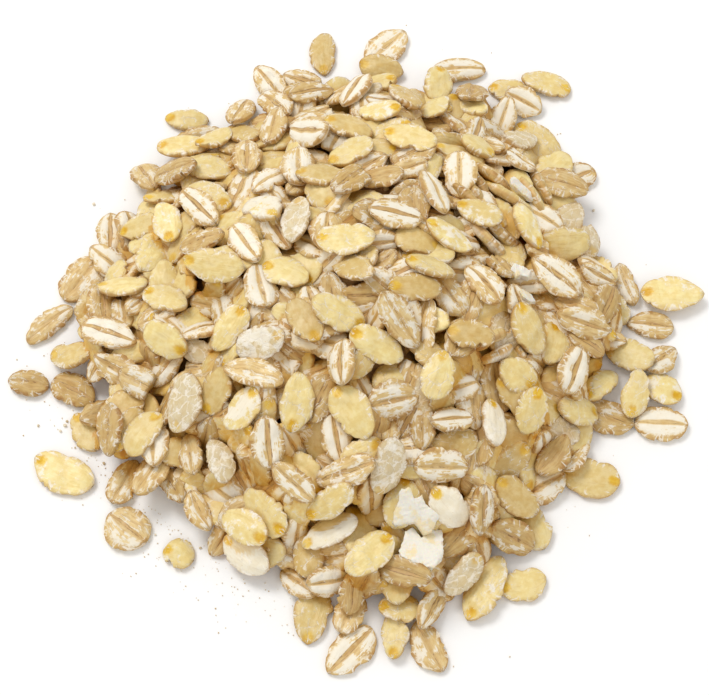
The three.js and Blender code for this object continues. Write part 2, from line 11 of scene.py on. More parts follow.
import bpy
import numpy as np
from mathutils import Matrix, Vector


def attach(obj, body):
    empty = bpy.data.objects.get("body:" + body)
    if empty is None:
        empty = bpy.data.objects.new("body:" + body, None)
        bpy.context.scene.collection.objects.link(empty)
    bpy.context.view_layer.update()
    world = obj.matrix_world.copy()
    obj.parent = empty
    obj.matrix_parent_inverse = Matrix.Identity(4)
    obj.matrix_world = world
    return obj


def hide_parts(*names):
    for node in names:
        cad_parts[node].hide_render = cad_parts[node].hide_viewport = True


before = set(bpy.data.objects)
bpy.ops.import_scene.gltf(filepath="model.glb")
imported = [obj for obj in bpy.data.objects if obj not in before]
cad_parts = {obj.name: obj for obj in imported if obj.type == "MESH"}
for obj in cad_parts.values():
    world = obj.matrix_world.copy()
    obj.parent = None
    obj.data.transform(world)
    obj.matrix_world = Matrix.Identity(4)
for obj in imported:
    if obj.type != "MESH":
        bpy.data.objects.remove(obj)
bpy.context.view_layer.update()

# ---------------------------------------------------------------- driving dimensions, in millimetres

HEAP_HEIGHT = 18.0  # from the table to the middle of the top flakes
APRON_HEIGHT = 2.4  # the heap's height at its rim, about two flakes
CONE_POWER = 1.1  # 1 gives a rounded dome, and more a heap that is hollow towards its foot
PEAK = (4.0, 1.0)  # where the top lies in plan
MIDDLE = (0.8, 0.5)  # where the middle of the whole, with the loose flakes, lies in plan

# The heap's plan radii every 20 degrees from +X towards +Y.
RIM_RADII = np.array([
    44, 42.5, 45.5, 48, 48, 46, 43.5, 43.5, 44.5,
    45.5, 44, 42.5, 42, 44, 47.5, 46.5, 41.5, 42.5,
])

# The low swells on the heap's slopes: how high they are, the lengths of their waves, and where each starts.
BROAD_HEIGHT, BROAD_WAVE_X, BROAD_WAVE_Y, BROAD_START_X, BROAD_START_Y = 0.9, 37.0, 42.0, 1.1, 0.4
CROSS_HEIGHT, CROSS_WAVE = 0.5, 20.0

FLAKE_LENGTH = (6.3, 9.6)  # shortest and longest
FLAKE_WIDTH_SHARE = (0.55, 0.72)  # of the length
FLAKE_THICKNESS = (1.05, 1.5)
FLAKE_CURL = 0.45  # the most that a flake's tips stand above or below its middle
BROKEN_SHARE = 0.12  # of the flakes, which end in a break across them
TIP_ROUND = (0.5, 0.72)  # 0.5 gives a round end, and more a pointed one
OUTLINE_POWER = 2.2  # 2 gives an oval, and more one with fuller sides
EDGE_THINNING = 0.85  # how much of its squared thickness a flake loses towards its edge

LAYER_DEPTH = 11.0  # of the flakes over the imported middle
SEED = 20517

STEEPEST = 0.8  # the slope at which a flake slides on until it lies flatter
TUMBLED_SHARE = 0.2  # of the flakes, which are caught at a slope of up to TUMBLE on what is below them
TUMBLE = 0.5
SETTLED_TILT = 0.12  # the same for the rest

# The goes in which flakes are laid. For each: how wide a place is judged, the least height it has to lack,
# how far a flake's highest point may stand over the heap's surface, and how many draws may fail.
BULK = (2.2, 1.3, 1.0, 300)
COVER = (0.6, 2.0, 2.1, 900)
CLOSE = (0.6, 1.9, 2.8, 500)

# Flakes laid as listed. For each: x and y of its middle, length, width, the turn from +X in degrees of the
# way from its germ to its far tip, the face that lies up, and its look, as in LOOKS below.

# Those at the foot of the heap, on the table.
FOOT_FLAKES = [
    (47.6, -16.7, 8.3, 5.9, -3, "crease", "white"),
    (-26.4, -37.6, 4.9, 4.7, -20, "back", "cream"),
    (-34.3, -33.5, 7.4, 7.0, -38, "crease", "mixed"),
    (5.5, 53.0, 9.5, 6.3, 47, "crease", "white"),
    (-9.0, 46.2, 7.0, 4.8, -17, "crease", "mixed"),
    (-14.1, 45.0, 9.2, 4.8, -54, "crease", "white"),
    (17.8, 48.4, 9.5, 4.8, 2, "crease", "mixed"),
    (30.7, 34.0, 9.9, 6.9, -48, "back", "cream"),
    (36.4, 26.9, 8.2, 5.7, 27, "crease", "mixed"),
    (47.2, 0.2, 7.5, 4.8, -7, "crease", "mixed"),
    (43.8, 7.4, 7.7, 4.0, -74, "crease", "mixed"),
    (48.0, -11.0, 6.8, 5.4, 152, "back", "pale"),
    (48.3, -5.8, 6.6, 4.9, 36, "crease", "mixed"),
    (43.3, -5.0, 8.8, 5.8, -33, "back", "cream"),
    (39.0, -15.3, 9.4, 5.9, -20, "crease", "brown"),
    (36.0, -25.4, 9.3, 6.5, 169, "back", "cream"),
    (28.4, -27.0, 8.4, 5.6, 26, "crease", "mixed"),
    (26.6, -33.4, 7.9, 5.9, -63, "back", "cream"),
    (25.0, -42.2, 7.4, 5.3, 12, "back", "cream"),
    (19.4, -43.0, 11.0, 5.6, 61, "back", "cream"),
    (10.9, -51.6, 8.4, 5.2, -63, "crease", "mixed"),
    (6.0, -49.8, 7.6, 4.3, 85, "back", "cream"),
    (-0.6, -52.2, 9.3, 5.9, 45, "crease", "white"),
    (-6.2, -46.8, 9.0, 5.7, 79, "back", "tan"),
    (-35.1, -26.2, 7.7, 4.9, 64, "crease", "mixed"),
    (-41.6, -18.0, 7.2, 4.7, -59, "back", "cream"),
    (-44.0, -11.0, 7.7, 5.5, -29, "crease", "brown"),
    (-48.6, 0.4, 9.3, 4.2, 43, "crease", "mixed"),
    (-44.1, 8.4, 9.0, 7.0, 56, "crease", "mixed"),
    (-39.9, 16.6, 7.9, 4.8, 93, "crease", "mixed"),
    (-28.4, 38.6, 7.4, 4.2, -5, "back", "cream"),
    (-26.3, 34.4, 8.5, 4.7, 20, "crease", "mixed"),
    (-8.6, 42.2, 7.8, 4.8, 12, "back", "tan"),
    (4.6, 48.4, 7.8, 5.0, -10, "back", "tan"),
    (41.4, 3.2, 7.0, 4.3, -58, "back", "cream"),
    (39.6, 9.2, 6.6, 4.8, -40, "back", "cream"),
    (43.6, -12.2, 8.0, 4.6, 77, "back", "cream"),
    (33.6, -22.6, 7.0, 4.6, 50, "crease", "mixed"),
    (-0.6, -47.0, 6.6, 4.8, 60, "crease", "mixed"),
    (6.6, -46.3, 6.3, 4.5, -5, "back", "cream"),
    (11.4, -46.0, 8.0, 4.2, 62, "crease", "mixed"),
    (-8.4, -42.2, 6.8, 4.0, -40, "crease", "mixed"),
    (-39.2, -15.0, 7.6, 4.8, 30, "crease", "mixed"),
    (26.4, 44.0, 7.4, 4.8, -15, "back", "cream"),
    (28.6, 41.4, 7.0, 5.2, -25, "crease", "starchy"),
    (25.0, 38.2, 7.6, 4.6, 70, "crease", "starchy"),
    (32.7, 45.5, 8.7, 5.2, 165, "back", "cream"),
    (50.9, 5.3, 10.2, 6.2, -3, "back", "pale"),
]

# Those that lie apart from the heap.
LOOSE_FLAKES = [
    (-5.3, 51.9, 8.6, 4.7, 90, "back", "tan"),
    (-44.5, -24.6, 10.3, 6.4, -27, "back", "pale"),
    (-51.2, -9.8, 6.6, 4.5, -9, "crease", "brown"),
]

# Those that lie uppermost on the heap, the lower ones first.
TOP_FLAKES = [
    (-0.2, 1.0, 9.0, 4.6, -38, "back", "tan"),
    (9.0, -2.5, 8.5, 4.6, 5, "back", "tan"),
    (11.3, 0.9, 8.0, 4.6, -10, "back", "cream"),
    (-20.6, -16.0, 8.0, 5.3, 60, "back", "tan"),
    (4.7, -28.0, 9.0, 5.2, 70, "back", "grey"),
    (-7.4, -7.3, 8.2, 4.8, 120, "back", "tan"),
    (-18.6, 12.3, 7.8, 4.6, -25, "back", "cream"),
    (-16.0, -38.4, 8.5, 6.0, -40, "back", "starchy"),
    (-1.0, 30.0, 8.2, 5.0, -15, "back", "tan"),
    (-2.4, -6.5, 9.2, 5.3, 159, "back", "cream"),
    (3.3, -11.0, 8.9, 5.0, -24, "back", "pale"),
    (6.6, -7.8, 9.8, 5.2, -53, "crease", "mixed"),
    (17.2, -9.2, 7.2, 4.7, -8, "back", "tan"),
    (12.1, -15.4, 7.8, 5.2, 255, "back", "cream"),
    (5.6, -18.6, 8.0, 6.3, 15, "crease", "mixed"),
    (-0.4, -20.7, 9.2, 5.9, -55, "back", "cream"),
    (-8.6, -18.9, 9.0, 5.0, 82, "back", "cream"),
    (-1.7, -14.0, 7.5, 5.2, 90, "crease", "mixed"),
    (20.6, -20.5, 7.6, 4.7, 275, "back", "starchy"),
    (12.6, -27.7, 8.0, 5.6, 0, "crease", "mixed"),
    (-1.3, -28.9, 9.5, 4.8, 12, "crease", "mixed"),
    (14.3, 7.4, 8.6, 5.4, -22, "back", "pale"),
    (-1.3, 5.8, 9.0, 5.8, 0, "back", "pale"),
    (6.1, 9.9, 8.5, 5.4, -12, "crease", "mixed"),
    (-8.9, 9.9, 8.3, 4.6, 260, "back", "grey"),
    (-5.2, 19.2, 8.2, 5.5, -10, "back", "tan"),
    (12.2, 15.0, 9.0, 4.9, -70, "crease", "white"),
    (4.1, 34.1, 7.6, 5.2, 168, "back", "pale"),
    (-7.2, 29.3, 8.4, 5.4, -28, "crease", "white"),
    (8.3, 37.5, 8.0, 4.6, -55, "back", "tan"),
    (0.2, 40.7, 9.4, 5.3, 65, "crease", "white"),
    (19.5, 41.0, 7.6, 5.6, 80, "crease", "brown"),
    (19.7, 27.2, 6.2, 4.8, 150, "back", "cream"),
    (-29.0, 0.0, 8.2, 5.3, -30, "back", "cream"),
    (-38.0, -4.3, 9.3, 5.5, -20, "crease", "white"),
    (-28.7, -7.0, 8.0, 5.7, 145, "back", "cream"),
    (-18.7, -6.9, 8.0, 5.0, 235, "back", "cream"),
    (-16.5, -19.5, 7.6, 5.4, 230, "back", "pale"),
    (-13.9, -9.8, 8.0, 5.7, 195, "back", "grey"),
    (-25.5, -17.3, 9.3, 6.2, 72, "back", "grey"),
    (-14.8, -14.8, 9.3, 4.9, -15, "crease", "white"),
    (-12.6, -24.8, 8.0, 5.3, 95, "crease", "mixed"),
    (-31.8, -20.6, 8.0, 5.6, 235, "back", "cream"),
    (-37.0, -19.8, 8.3, 4.6, 90, "crease", "brown"),
    (-21.3, 3.1, 9.8, 5.1, -12, "back", "cream"),
    (-16.6, 7.0, 8.8, 4.8, -60, "crease", "white"),
    (-23.6, 8.7, 8.4, 4.5, 5, "crease", "brown"),
    (-14.2, 12.8, 9.2, 5.9, 130, "back", "pale"),
    (-24.4, 15.5, 9.3, 4.9, -50, "crease", "white"),
    (-29.0, 24.8, 8.3, 4.5, 8, "crease", "brown"),
    (27.0, 11.8, 8.0, 4.8, 120, "back", "pale"),
    (31.1, 3.7, 9.2, 5.9, -35, "crease", "white"),
    (35.3, -3.4, 9.5, 5.1, -10, "crease", "mixed"),
    (26.3, -6.0, 8.6, 5.3, -65, "back", "cream"),
    (24.2, -13.6, 6.4, 5.5, 150, "back", "cream"),
    (33.3, -10.8, 7.8, 5.8, 70, "crease", "white"),
    (26.3, -18.7, 7.6, 5.0, 250, "back", "cream"),
    (13.8, -33.0, 7.5, 5.6, -40, "back", "starchy"),
    (18.6, -33.4, 7.5, 4.1, 85, "crease", "brown"),
    (7.0, -42.0, 9.0, 4.7, -20, "crease", "brown"),
    (-13.2, -33.0, 9.2, 5.9, 130, "back", "cream"),
    (-16.2, -35.3, 8.0, 5.2, 145, "back", "cream"),
    (-3.6, -36.2, 9.4, 4.5, 22, "back", "starchy"),
    (-3.6, -33.0, 8.6, 4.5, 25, "back", "cream"),
    (-8.8, -30.5, 8.0, 4.5, -40, "crease", "mixed"),
]

# ---------------------------------------------------------------- the heap's form


def between(span, share):
    return span[0] + (span[1] - span[0]) * share


state = SEED


def draw():
    """The next of the fixed row of numbers from 0 to 1 that lays the flakes."""
    global state
    state = (state * 1664525 + 1013904223) % 2**32
    return state / 2**32


def rim_radius(angle):
    place = (angle / (2 * math.pi) + 1) % 1 * len(RIM_RADII)
    start = np.floor(place).astype(int) % len(RIM_RADII)
    share = place - np.floor(place)
    ease = share * share * (3 - 2 * share)
    return RIM_RADII[start] + (RIM_RADII[(start + 1) % len(RIM_RADII)] - RIM_RADII[start]) * ease


def outward_share(x, y):
    """0 at the peak and 1 at the rim."""
    reach = np.minimum(1, np.hypot(x, y) / rim_radius(np.arctan2(y, x)))
    px = x - PEAK[0] * (1 - reach)
    py = y - PEAK[1] * (1 - reach)
    return np.hypot(px, py) / rim_radius(np.arctan2(py, px))


def swell_at(x, y):
    turn = 2 * math.pi
    broad = BROAD_HEIGHT * np.sin(turn * x / BROAD_WAVE_X + BROAD_START_X)
    broad = broad * np.sin(turn * y / BROAD_WAVE_Y + BROAD_START_Y)
    return broad + CROSS_HEIGHT * np.sin(turn * (x - y) / CROSS_WAVE)


def heap_surface(x, y):
    x = np.asarray(x, float)
    y = np.asarray(y, float)
    out = outward_share(x, y)
    cone = np.maximum(0, np.cos(np.minimum(out, 1) * math.pi / 2)) ** CONE_POWER
    height = APRON_HEIGHT + (HEAP_HEIGHT - APRON_HEIGHT) * cone + swell_at(x, y) * (1 - out * out)
    return np.where(out >= 1, 0, height)


# ---------------------------------------------------------------- laying the flakes

CELL = 0.5  # of the height map
MAP_HALF = 64  # half the map's width
MAP_CELLS = int(2 * MAP_HALF / CELL)


def cell_at(x, y):
    column = np.floor((x + MAP_HALF) / CELL).astype(int)
    row = np.floor((y + MAP_HALF) / CELL).astype(int)
    return row * MAP_CELLS + column


def spots_on_flake(along, across):
    """Evenly spaced places on a flake, as shares of its half length and half width."""
    p = (np.arange(along) + 0.5) / along * 2 - 1
    q = (np.arange(across) + 0.5) / across * 2 - 1
    p, q = (a.ravel() for a in np.meshgrid(p, q, indexing="ij"))
    on = p * p + q * q <= 1
    return p[on], q[on]


FEW_SPOTS = spots_on_flake(11, 8)
MANY_SPOTS = spots_on_flake(28, 18)


def half_thickness(flake, p, q):
    out = p * p + q * q
    return 0.5 * flake["thick"] * np.sqrt(np.maximum(1 - EDGE_THINNING, 1 - EDGE_THINNING * out * out))


def bend_at(flake, p):
    return flake["curl"] * (p * p - 1 / 3)


def axes_of(flake):
    """The flake's directions: along it, across it and out of its upper face."""
    turn, gx, gy = flake["turn"], flake["slope"][0], flake["slope"][1]
    along = np.array([math.cos(turn), math.sin(turn), gx * math.cos(turn) + gy * math.sin(turn)])
    along = along / math.sqrt(along @ along)
    up = np.array([-gx, -gy, 1.0])
    up = up / math.sqrt(up @ up)
    return along, np.cross(up, along), up


def resting_slope(flake):
    """The tilt at which the flake's middle lies lowest with none of it under the surface."""
    p, q = FEW_SPOTS
    c, s = math.cos(flake["turn"]), math.sin(flake["turn"])
    dx = 0.5 * (flake["length"] * p * c - flake["width"] * q * s)
    dy = 0.5 * (flake["length"] * p * s + flake["width"] * q * c)
    under = half_thickness(flake, p, q) - bend_at(flake, p)
    feet = heights[cell_at(flake["x"] + dx, flake["y"] + dy)] + under
    ways = np.arange(12) * 2 * math.pi / 12
    slope = (0.0, 0.0)
    lowest = feet.max()
    step = 0.4
    while step > 0.01:
        nx = slope[0] + step * np.cos(ways)
        ny = slope[1] + step * np.sin(ways)
        z = (feet - nx[:, None] * dx - ny[:, None] * dy).max(axis=1)
        most = np.maximum(np.abs(nx), np.abs(ny))
        steep = np.sqrt((nx / most) ** 2 + (ny / most) ** 2) * most > STEEPEST
        best = None
        for k in range(12):
            if not steep[k] and z[k] < lowest - 1e-7:
                lowest = z[k]
                best = (nx[k], ny[k])
        if best:
            slope = best
        else:
            step /= 2
    return slope


def face_points(flake, face):
    """Points of the flake's upper or lower face, counted from its middle."""
    along, across, up = axes_of(flake)
    p, q = MANY_SPOTS
    d = bend_at(flake, p) + face * half_thickness(flake, p, q)
    half_length = 0.5 * flake["length"] * p
    half_width = 0.5 * flake["width"] * q
    return half_length[:, None] * along + half_width[:, None] * across + d[:, None] * up


def drop(flake):
    """Lowers the flake until it touches what is below it."""
    points = face_points(flake, -1)
    cells = cell_at(flake["x"] + points[:, 0], flake["y"] + points[:, 1])
    flake["z"] = (heights[cells] - points[:, 2]).max()


def lay(flake):
    """Drops the flake and adds its upper face to the height map."""
    drop(flake)
    points = face_points(flake, 1)
    cells = cell_at(flake["x"] + points[:, 0], flake["y"] + points[:, 1])
    z = flake["z"] + points[:, 2]
    top_flake[cells[z > heights[cells]]] = len(flakes)
    np.maximum.at(heights, cells, z)
    flakes.append(flake)


def highest_point(flake):
    along, across, _ = axes_of(flake)
    return flake["z"] + 0.5 * math.hypot(flake["length"] * along[2], flake["width"] * across[2])


def draw_form():
    form = {"thick": between(FLAKE_THICKNESS, draw()), "curl": FLAKE_CURL * (2 * draw() - 1)}
    form["start_round"] = between(TIP_ROUND, draw())
    form["end_round"] = between(TIP_ROUND, draw())
    form["break_at"] = 0.15 + 0.5 * draw() if draw() < BROKEN_SHARE else 1
    return form


def lay_by_hand(rows):
    for x, y, length, width, turn, face, look in rows:
        flake = {"x": x, "y": y, "length": length, "width": width, "turn": turn * math.pi / 180}
        flake.update(draw_form())
        flake.update(crease_up=face == "crease", break_at=1, look=look)
        flake["curl"] *= 0.5
        flake["slope"] = resting_slope(flake)
        lay(flake)


LOOSE_CLEAR = 0.8  # how far the heap's flakes stay off a loose one


def near_loose_flake(flake):
    """True where a flake's outline comes over a loose flake or close to it."""
    a = np.arange(16) * math.pi / 8
    half_length = 0.5 * flake["length"] * np.cos(a)
    half_width = 0.5 * flake["width"] * np.sin(a)
    turn = flake["turn"]
    for x, y, length, width, degrees, _, _ in LOOSE_FLAKES:
        c, s = math.cos(degrees * math.pi / 180), math.sin(degrees * math.pi / 180)
        dx = flake["x"] + half_length * math.cos(turn) - half_width * math.sin(turn) - x
        dy = flake["y"] + half_length * math.sin(turn) + half_width * math.cos(turn) - y
        in_length = (dx * c + dy * s) / (0.5 * length + LOOSE_CLEAR)
        in_width = (dy * c - dx * s) / (0.5 * width + LOOSE_CLEAR)
        if (in_length**2 + in_width**2 < 1).any():
            return True
    return False


def draw_place(reach):
    """The neediest of a few places drawn at random, and how much height the heap lacks round it."""
    drawn = np.array([draw() for _ in range(20)])
    angle = 2 * math.pi * drawn[0::2]
    radius = np.sqrt(drawn[1::2]) * rim_radius(angle)
    x, y = radius * np.cos(angle), radius * np.sin(angle)
    total = heights[cell_at(x, y)]
    for k in range(6):
        a = k * math.pi / 3
        total = total + heights[cell_at(x + reach * math.cos(a), y + reach * math.sin(a))]
    lack = heap_surface(x, y) - total / 7
    best = int(lack.argmax())
    return float(x[best]), float(y[best]), float(lack[best])


def draw_shape(x, y):
    length = between(FLAKE_LENGTH, (draw() + draw()) / 2)
    width = length * between(FLAKE_WIDTH_SHARE, draw())
    flake = {"x": x, "y": y, "length": length, "width": width, "turn": 2 * math.pi * draw(), "look": None}
    flake["crease_up"] = draw() < 0.5
    flake.update(draw_form())
    return flake


def draw_flake(x, y):
    flake = draw_shape(x, y)
    tumble = TUMBLE if draw() < TUMBLED_SHARE else SETTLED_TILT
    gx, gy = resting_slope(flake)
    flake["slope"] = (gx + tumble * (2 * draw() - 1), gy + tumble * (2 * draw() - 1))
    drop(flake)
    return flake


def lay_layer(reach, least, proud, misses):
    missed = 0
    while missed < misses:
        x, y, lack = draw_place(reach)
        if lack < least:
            missed += 1
            continue
        flake = draw_flake(x, y)
        if highest_point(flake) > heap_surface(x, y) + proud or near_loose_flake(flake):
            missed += 1
        else:
            lay(flake)


cells_x = (np.arange(MAP_CELLS) + 0.5) * CELL - MAP_HALF
map_x, map_y = (a.ravel() for a in np.meshgrid(cells_x, cells_x))
heights = np.maximum(0, heap_surface(map_x, map_y) - LAYER_DEPTH)
top_flake = np.full(MAP_CELLS * MAP_CELLS, -1)
flakes = []
lay_by_hand(LOOSE_FLAKES)
lay_by_hand(FOOT_FLAKES)
lay_layer(*BULK)
lay_layer(*COVER)
lay_by_hand(TOP_FLAKES)
lay_layer(*CLOSE)


# ---------------------------------------------------------------- flakes that show in the gaps

GAP_REACH = 3.2  # how far round a place its surroundings are judged
GAP_DEPTH = 1.5  # how far below its surroundings a place counts as a gap
GAP_SINK = (0.5, 1.1)  # how far a gap flake's top stays below its surroundings
GAP_FLAKES = 400  # the most that are added
GAP_TRIES = 8
GAP_TUMBLE = 0.35
GAP_STEEP = 1.1  # how steeply some of them lean
GAP_STEEP_SHARE = 0.35
GAP_SCATTER = 1.2  # how far apart the places are that are tried for one gap
GAP_LEAST = 0.3  # how much higher than what lies there a gap flake has to be
COVER_DEPTH = 0.8  # a flake that lies deeper than this under its surroundings can be covered
COVER_CLEAR = 0.25  # how far a gap flake stays under the flakes that it passes beneath
SKIN_SHARE = 0.65  # the share of the cells round a place that stay under the height of the heap's skin there


def surroundings(field, reach, share):
    """For each cell, the height that the given share of the cells round it stay under."""
    field = field.reshape(MAP_CELLS, MAP_CELLS)
    span = int(reach / CELL)
    steps = range(-span, span + 1)
    offsets = [(i, j) for i in steps for j in steps if i * i + j * j <= span * span]
    return np.quantile(np.stack([np.roll(field, offset, axis=(0, 1)) for offset in offsets]), share, axis=0)


def sunk_flake(cell, level, slope):
    """A flake in the gap at a cell, low enough to pass beneath the flakes round it."""
    x = float(map_x[cell]) + GAP_SCATTER * (draw() - 0.5)
    y = float(map_y[cell]) + GAP_SCATTER * (draw() - 0.5)
    flake = draw_shape(x, y)
    tumble = GAP_STEEP if draw() < GAP_STEEP_SHARE else GAP_TUMBLE
    lean = (tumble * (2 * draw() - 1), tumble * (2 * draw() - 1))
    flake["slope"] = (slope[0] + lean[0], slope[1] + lean[1])
    points = face_points(flake, 1)
    cells = cell_at(flake["x"] + points[:, 0], flake["y"] + points[:, 1])
    under = heights[cells] > level[cells] - COVER_DEPTH
    room = np.where(under, heights[cells] - COVER_CLEAR, np.inf) - points[:, 2]
    flake["z"] = min(level[cell] - 0.5 * flake["thick"] - between(GAP_SINK, draw()), room.min())
    if flake["z"] + face_points(flake, -1)[:, 2].min() < 0:
        flake["z"] = -math.inf  # it would reach into the table
    return flake, cells, flake["z"] + points[:, 2]


def fill_gaps():
    """Lays flakes in the deepest gaps, each the one that reaches highest of a few drawn for it."""
    level = surroundings(heights, GAP_REACH, SKIN_SHARE)
    rise_y, rise_x = (g.ravel() for g in np.gradient(surroundings(level, GAP_REACH, 0.5), CELL))
    level = level.ravel()
    gap = np.where(outward_share(map_x, map_y) < 0.95, level - heights, 0)
    for _ in range(GAP_FLAKES):
        cell = int(gap.argmax())
        if gap[cell] < GAP_DEPTH:
            break
        drawn = [sunk_flake(cell, level, (rise_x[cell], rise_y[cell])) for _ in range(GAP_TRIES)]
        flake, cells, z = max(drawn, key=lambda found: found[0]["z"])
        gap[cell] = 0
        if flake["z"] + GAP_LEAST < heights[cell]:
            continue
        top_flake[cells[z > heights[cells]]] = len(flakes)
        np.maximum.at(heights, cells, z)
        gap[cells] = np.minimum(gap[cells], level[cells] - heights[cells])
        flakes.append(flake)


fill_gaps()


# ---------------------------------------------------------------- flakes on edge

# Flakes that stand on edge in the heap's right side: x and y, length, width, turn, face and look.
EDGE_FLAKES = [
    (18.3, 18.7, 6.4, 4.4, -53, "crease", "tan"),
    (19.4, 20.9, 7.6, 4.8, -60, "back", "tan"),
    (18.1, 16.3, 8.6, 4.6, -46, "crease", "brown"),
    (24.7, 18.2, 9.4, 5.0, -30, "back", "cream"),
    (28.5, 20.0, 7.8, 4.6, -58, "back", "cream"),
    (30.1, 22.9, 8.2, 4.6, -66, "back", "tan"),
    (21.9, 22.3, 7.0, 4.4, -37, "crease", "tan"),
    (20.6, 9.7, 7.4, 4.6, -41, "crease", "white"),
    (22.4, 11.5, 8.0, 4.6, -35, "crease", "brown"),
    (20.1, -8.3, 6.4, 4.2, 34, "back", "cream"),
    (21.4, -10.2, 5.8, 4.0, 34, "crease", "white"),
]
EDGE_RISE = 1.7  # how far they stand out of the heap
EDGE_THICKNESS = 1.6
EDGE_SLOPE = 2.25  # how steeply they rise towards the near side
EDGE_CLEAR = 2.6  # how near their middles no other flake of the skin lies
SKIN_DEPTH = 0.4  # how far under the heap's surface a flake of the skin may lie


def edge_flake(x, y, length, width, turn, face, look):
    turn = math.radians(turn)
    c, s = math.cos(turn), math.sin(turn)
    flake = {"x": x, "y": y, "length": length, "width": width, "turn": turn}
    flake.update(draw_form())
    flake.update(crease_up=face == "crease", break_at=1, look=look, thick=EDGE_THICKNESS)
    ends = heap_surface(x + 0.5 * length * np.array([-c, c]), y + 0.5 * length * np.array([-s, s]))
    climb = float(ends[1] - ends[0]) / length
    flake["slope"] = ((EDGE_SLOPE * s + climb) / c, -EDGE_SLOPE)
    top = float(heap_surface(x, y)) + EDGE_RISE
    flake["z"] = top - 0.5 * width * abs(axes_of(flake)[1][2])
    return flake


edge_flakes = [edge_flake(*row) for row in EDGE_FLAKES]


def near_edge_flakes(flake, reach):
    return any(math.hypot(flake["x"] - e["x"], flake["y"] - e["y"]) < reach for e in edge_flakes)


def in_the_way(flake):
    """True for a flake of the skin that lies where flakes stand on edge."""
    skin = flake["z"] > heap_surface(flake["x"], flake["y"]) - SKIN_DEPTH
    return skin and not flake["look"] and near_edge_flakes(flake, EDGE_CLEAR)


left_out = {k for k, flake in enumerate(flakes) if in_the_way(flake)}
flakes.extend(edge_flakes)


# ---------------------------------------------------------------- a flake's surface

MM = 0.001

CREASE_DEPTH = 0.09  # of the groove down a grain's belly
CREASE_WIDTH = 0.36  # how far from the groove's middle it has risen by two thirds
LINE_DEPTH = 0.05  # of the narrow line along the groove's middle
LINE_WIDTH = 0.13
LOBE_HEIGHT = 0.15  # how far the two lobes beside the crease stand up
LOBE_PLACE = 0.45  # the lobes' tops, as a share of the half width
FOLD_HEIGHT = 0.035  # of the fine folds along the belly
FOLDS = 3.4  # to each side of the crease
DOME_HEIGHT = 0.1  # how far the back's middle stands up
GERM_PLACE = -0.8  # where the germ lies, as a share of the half length
GERM_DEPTH = 0.1
UNEVEN = 0.11  # how far a flake's faces depart from smooth ones
NOTCH_DEPTH = (0.12, 0.55)  # of the nicks in the rim
NOTCH_HALF = (0.03, 0.09)  # half a nick's width, as a share of the half length
CHIP_DEPTH = (0.1, 0.5)  # of the wider cuts that make the outline angular
CHIP_HALF = (0.15, 0.4)
BOW = 0.3  # the most that a flake's middle line bends to one side
SKEW = 0.16  # the most that a flake's widest place lies off its middle, as a share of the half length
TWIST = 0.22
LAST_SHARE = 0.97  # where a broken flake ends at the latest

# For a flake that shows well, one that shows in part and one that hardly shows: the number of cross-sections,
# and the places of the points across its upper and its lower face, as shares of the half width.
UPPER_FINE = np.array([0.06, 0.13, 0.22, 0.34, 0.48, 0.62, 0.76, 0.88, 0.955, 0.99])
UPPER_MIDDLE = np.array([0.1, 0.3, 0.55, 0.8, 0.96])
UPPER_COARSE = np.array([0.45, 0.85])
DETAIL = {
    "fine": (31, UPPER_FINE, np.array([0.5, 0.9])),
    "middle": (15, UPPER_MIDDLE, np.array([0.8])),
    "coarse": (7, UPPER_COARSE, np.array([0.7])),
}

UPPER_MAP = 0.7  # how much of a flake's map its upper face takes
LOWER_MAP = 0.74  # where the lower face's part starts
MAP_SIZES = {"fine": 1.0, "middle": 0.6, "coarse": 0.25}


def mirrored(places, middle=True):
    return np.concatenate([-places[::-1], [0.0] if middle else [], places])


def ripple(rng, x, y, size, height, waves=5):
    """A few crossing waves of about one size."""
    total = np.zeros(np.broadcast(x, y).shape)
    for _ in range(waves):
        angle = rng.uniform(0, math.pi)
        number = 2 * math.pi / (size * rng.uniform(0.7, 1.4))
        total += np.sin(number * (x * math.cos(angle) + y * math.sin(angle)) + rng.uniform(0, 7))
    return total * height / math.sqrt(waves)


def station_shares(flake, count):
    k = np.arange(1, count + 1)
    if flake["break_at"] < 1:
        return -1 + (flake["break_at"] + 1) * (1 - np.cos(math.pi * k / (2 * count)))
    return -np.cos(math.pi * k / (count + 1))


def half_width(flake, share, skew):
    share = share + skew * (1 - share * share)
    blunt = np.where(share < 0, flake["start_round"], flake["end_round"])
    return 0.5 * flake["width"] * (1 - np.abs(share) ** OUTLINE_POWER) ** blunt


def rim_factor(rng, flake, share):
    """What the nicks and the waviness of one side leave of the half width along it."""
    factor = 1 + ripple(rng, share * 3, 0, 2.2, 0.035, waves=3)
    factor = factor + ripple(rng, share * 3, 0, 0.7, 0.015, waves=3)
    cuts = [(NOTCH_DEPTH, NOTCH_HALF)] * rng.integers(1, 5) + [(CHIP_DEPTH, CHIP_HALF)] * rng.integers(1, 4)
    for depth_span, half_span in cuts:
        depth = rng.uniform(*depth_span) / (0.5 * flake["width"])
        half = rng.uniform(*half_span)
        factor = factor - depth * np.maximum(0, 1 - np.abs(share - rng.uniform(-0.85, 0.85)) / half)
    return factor


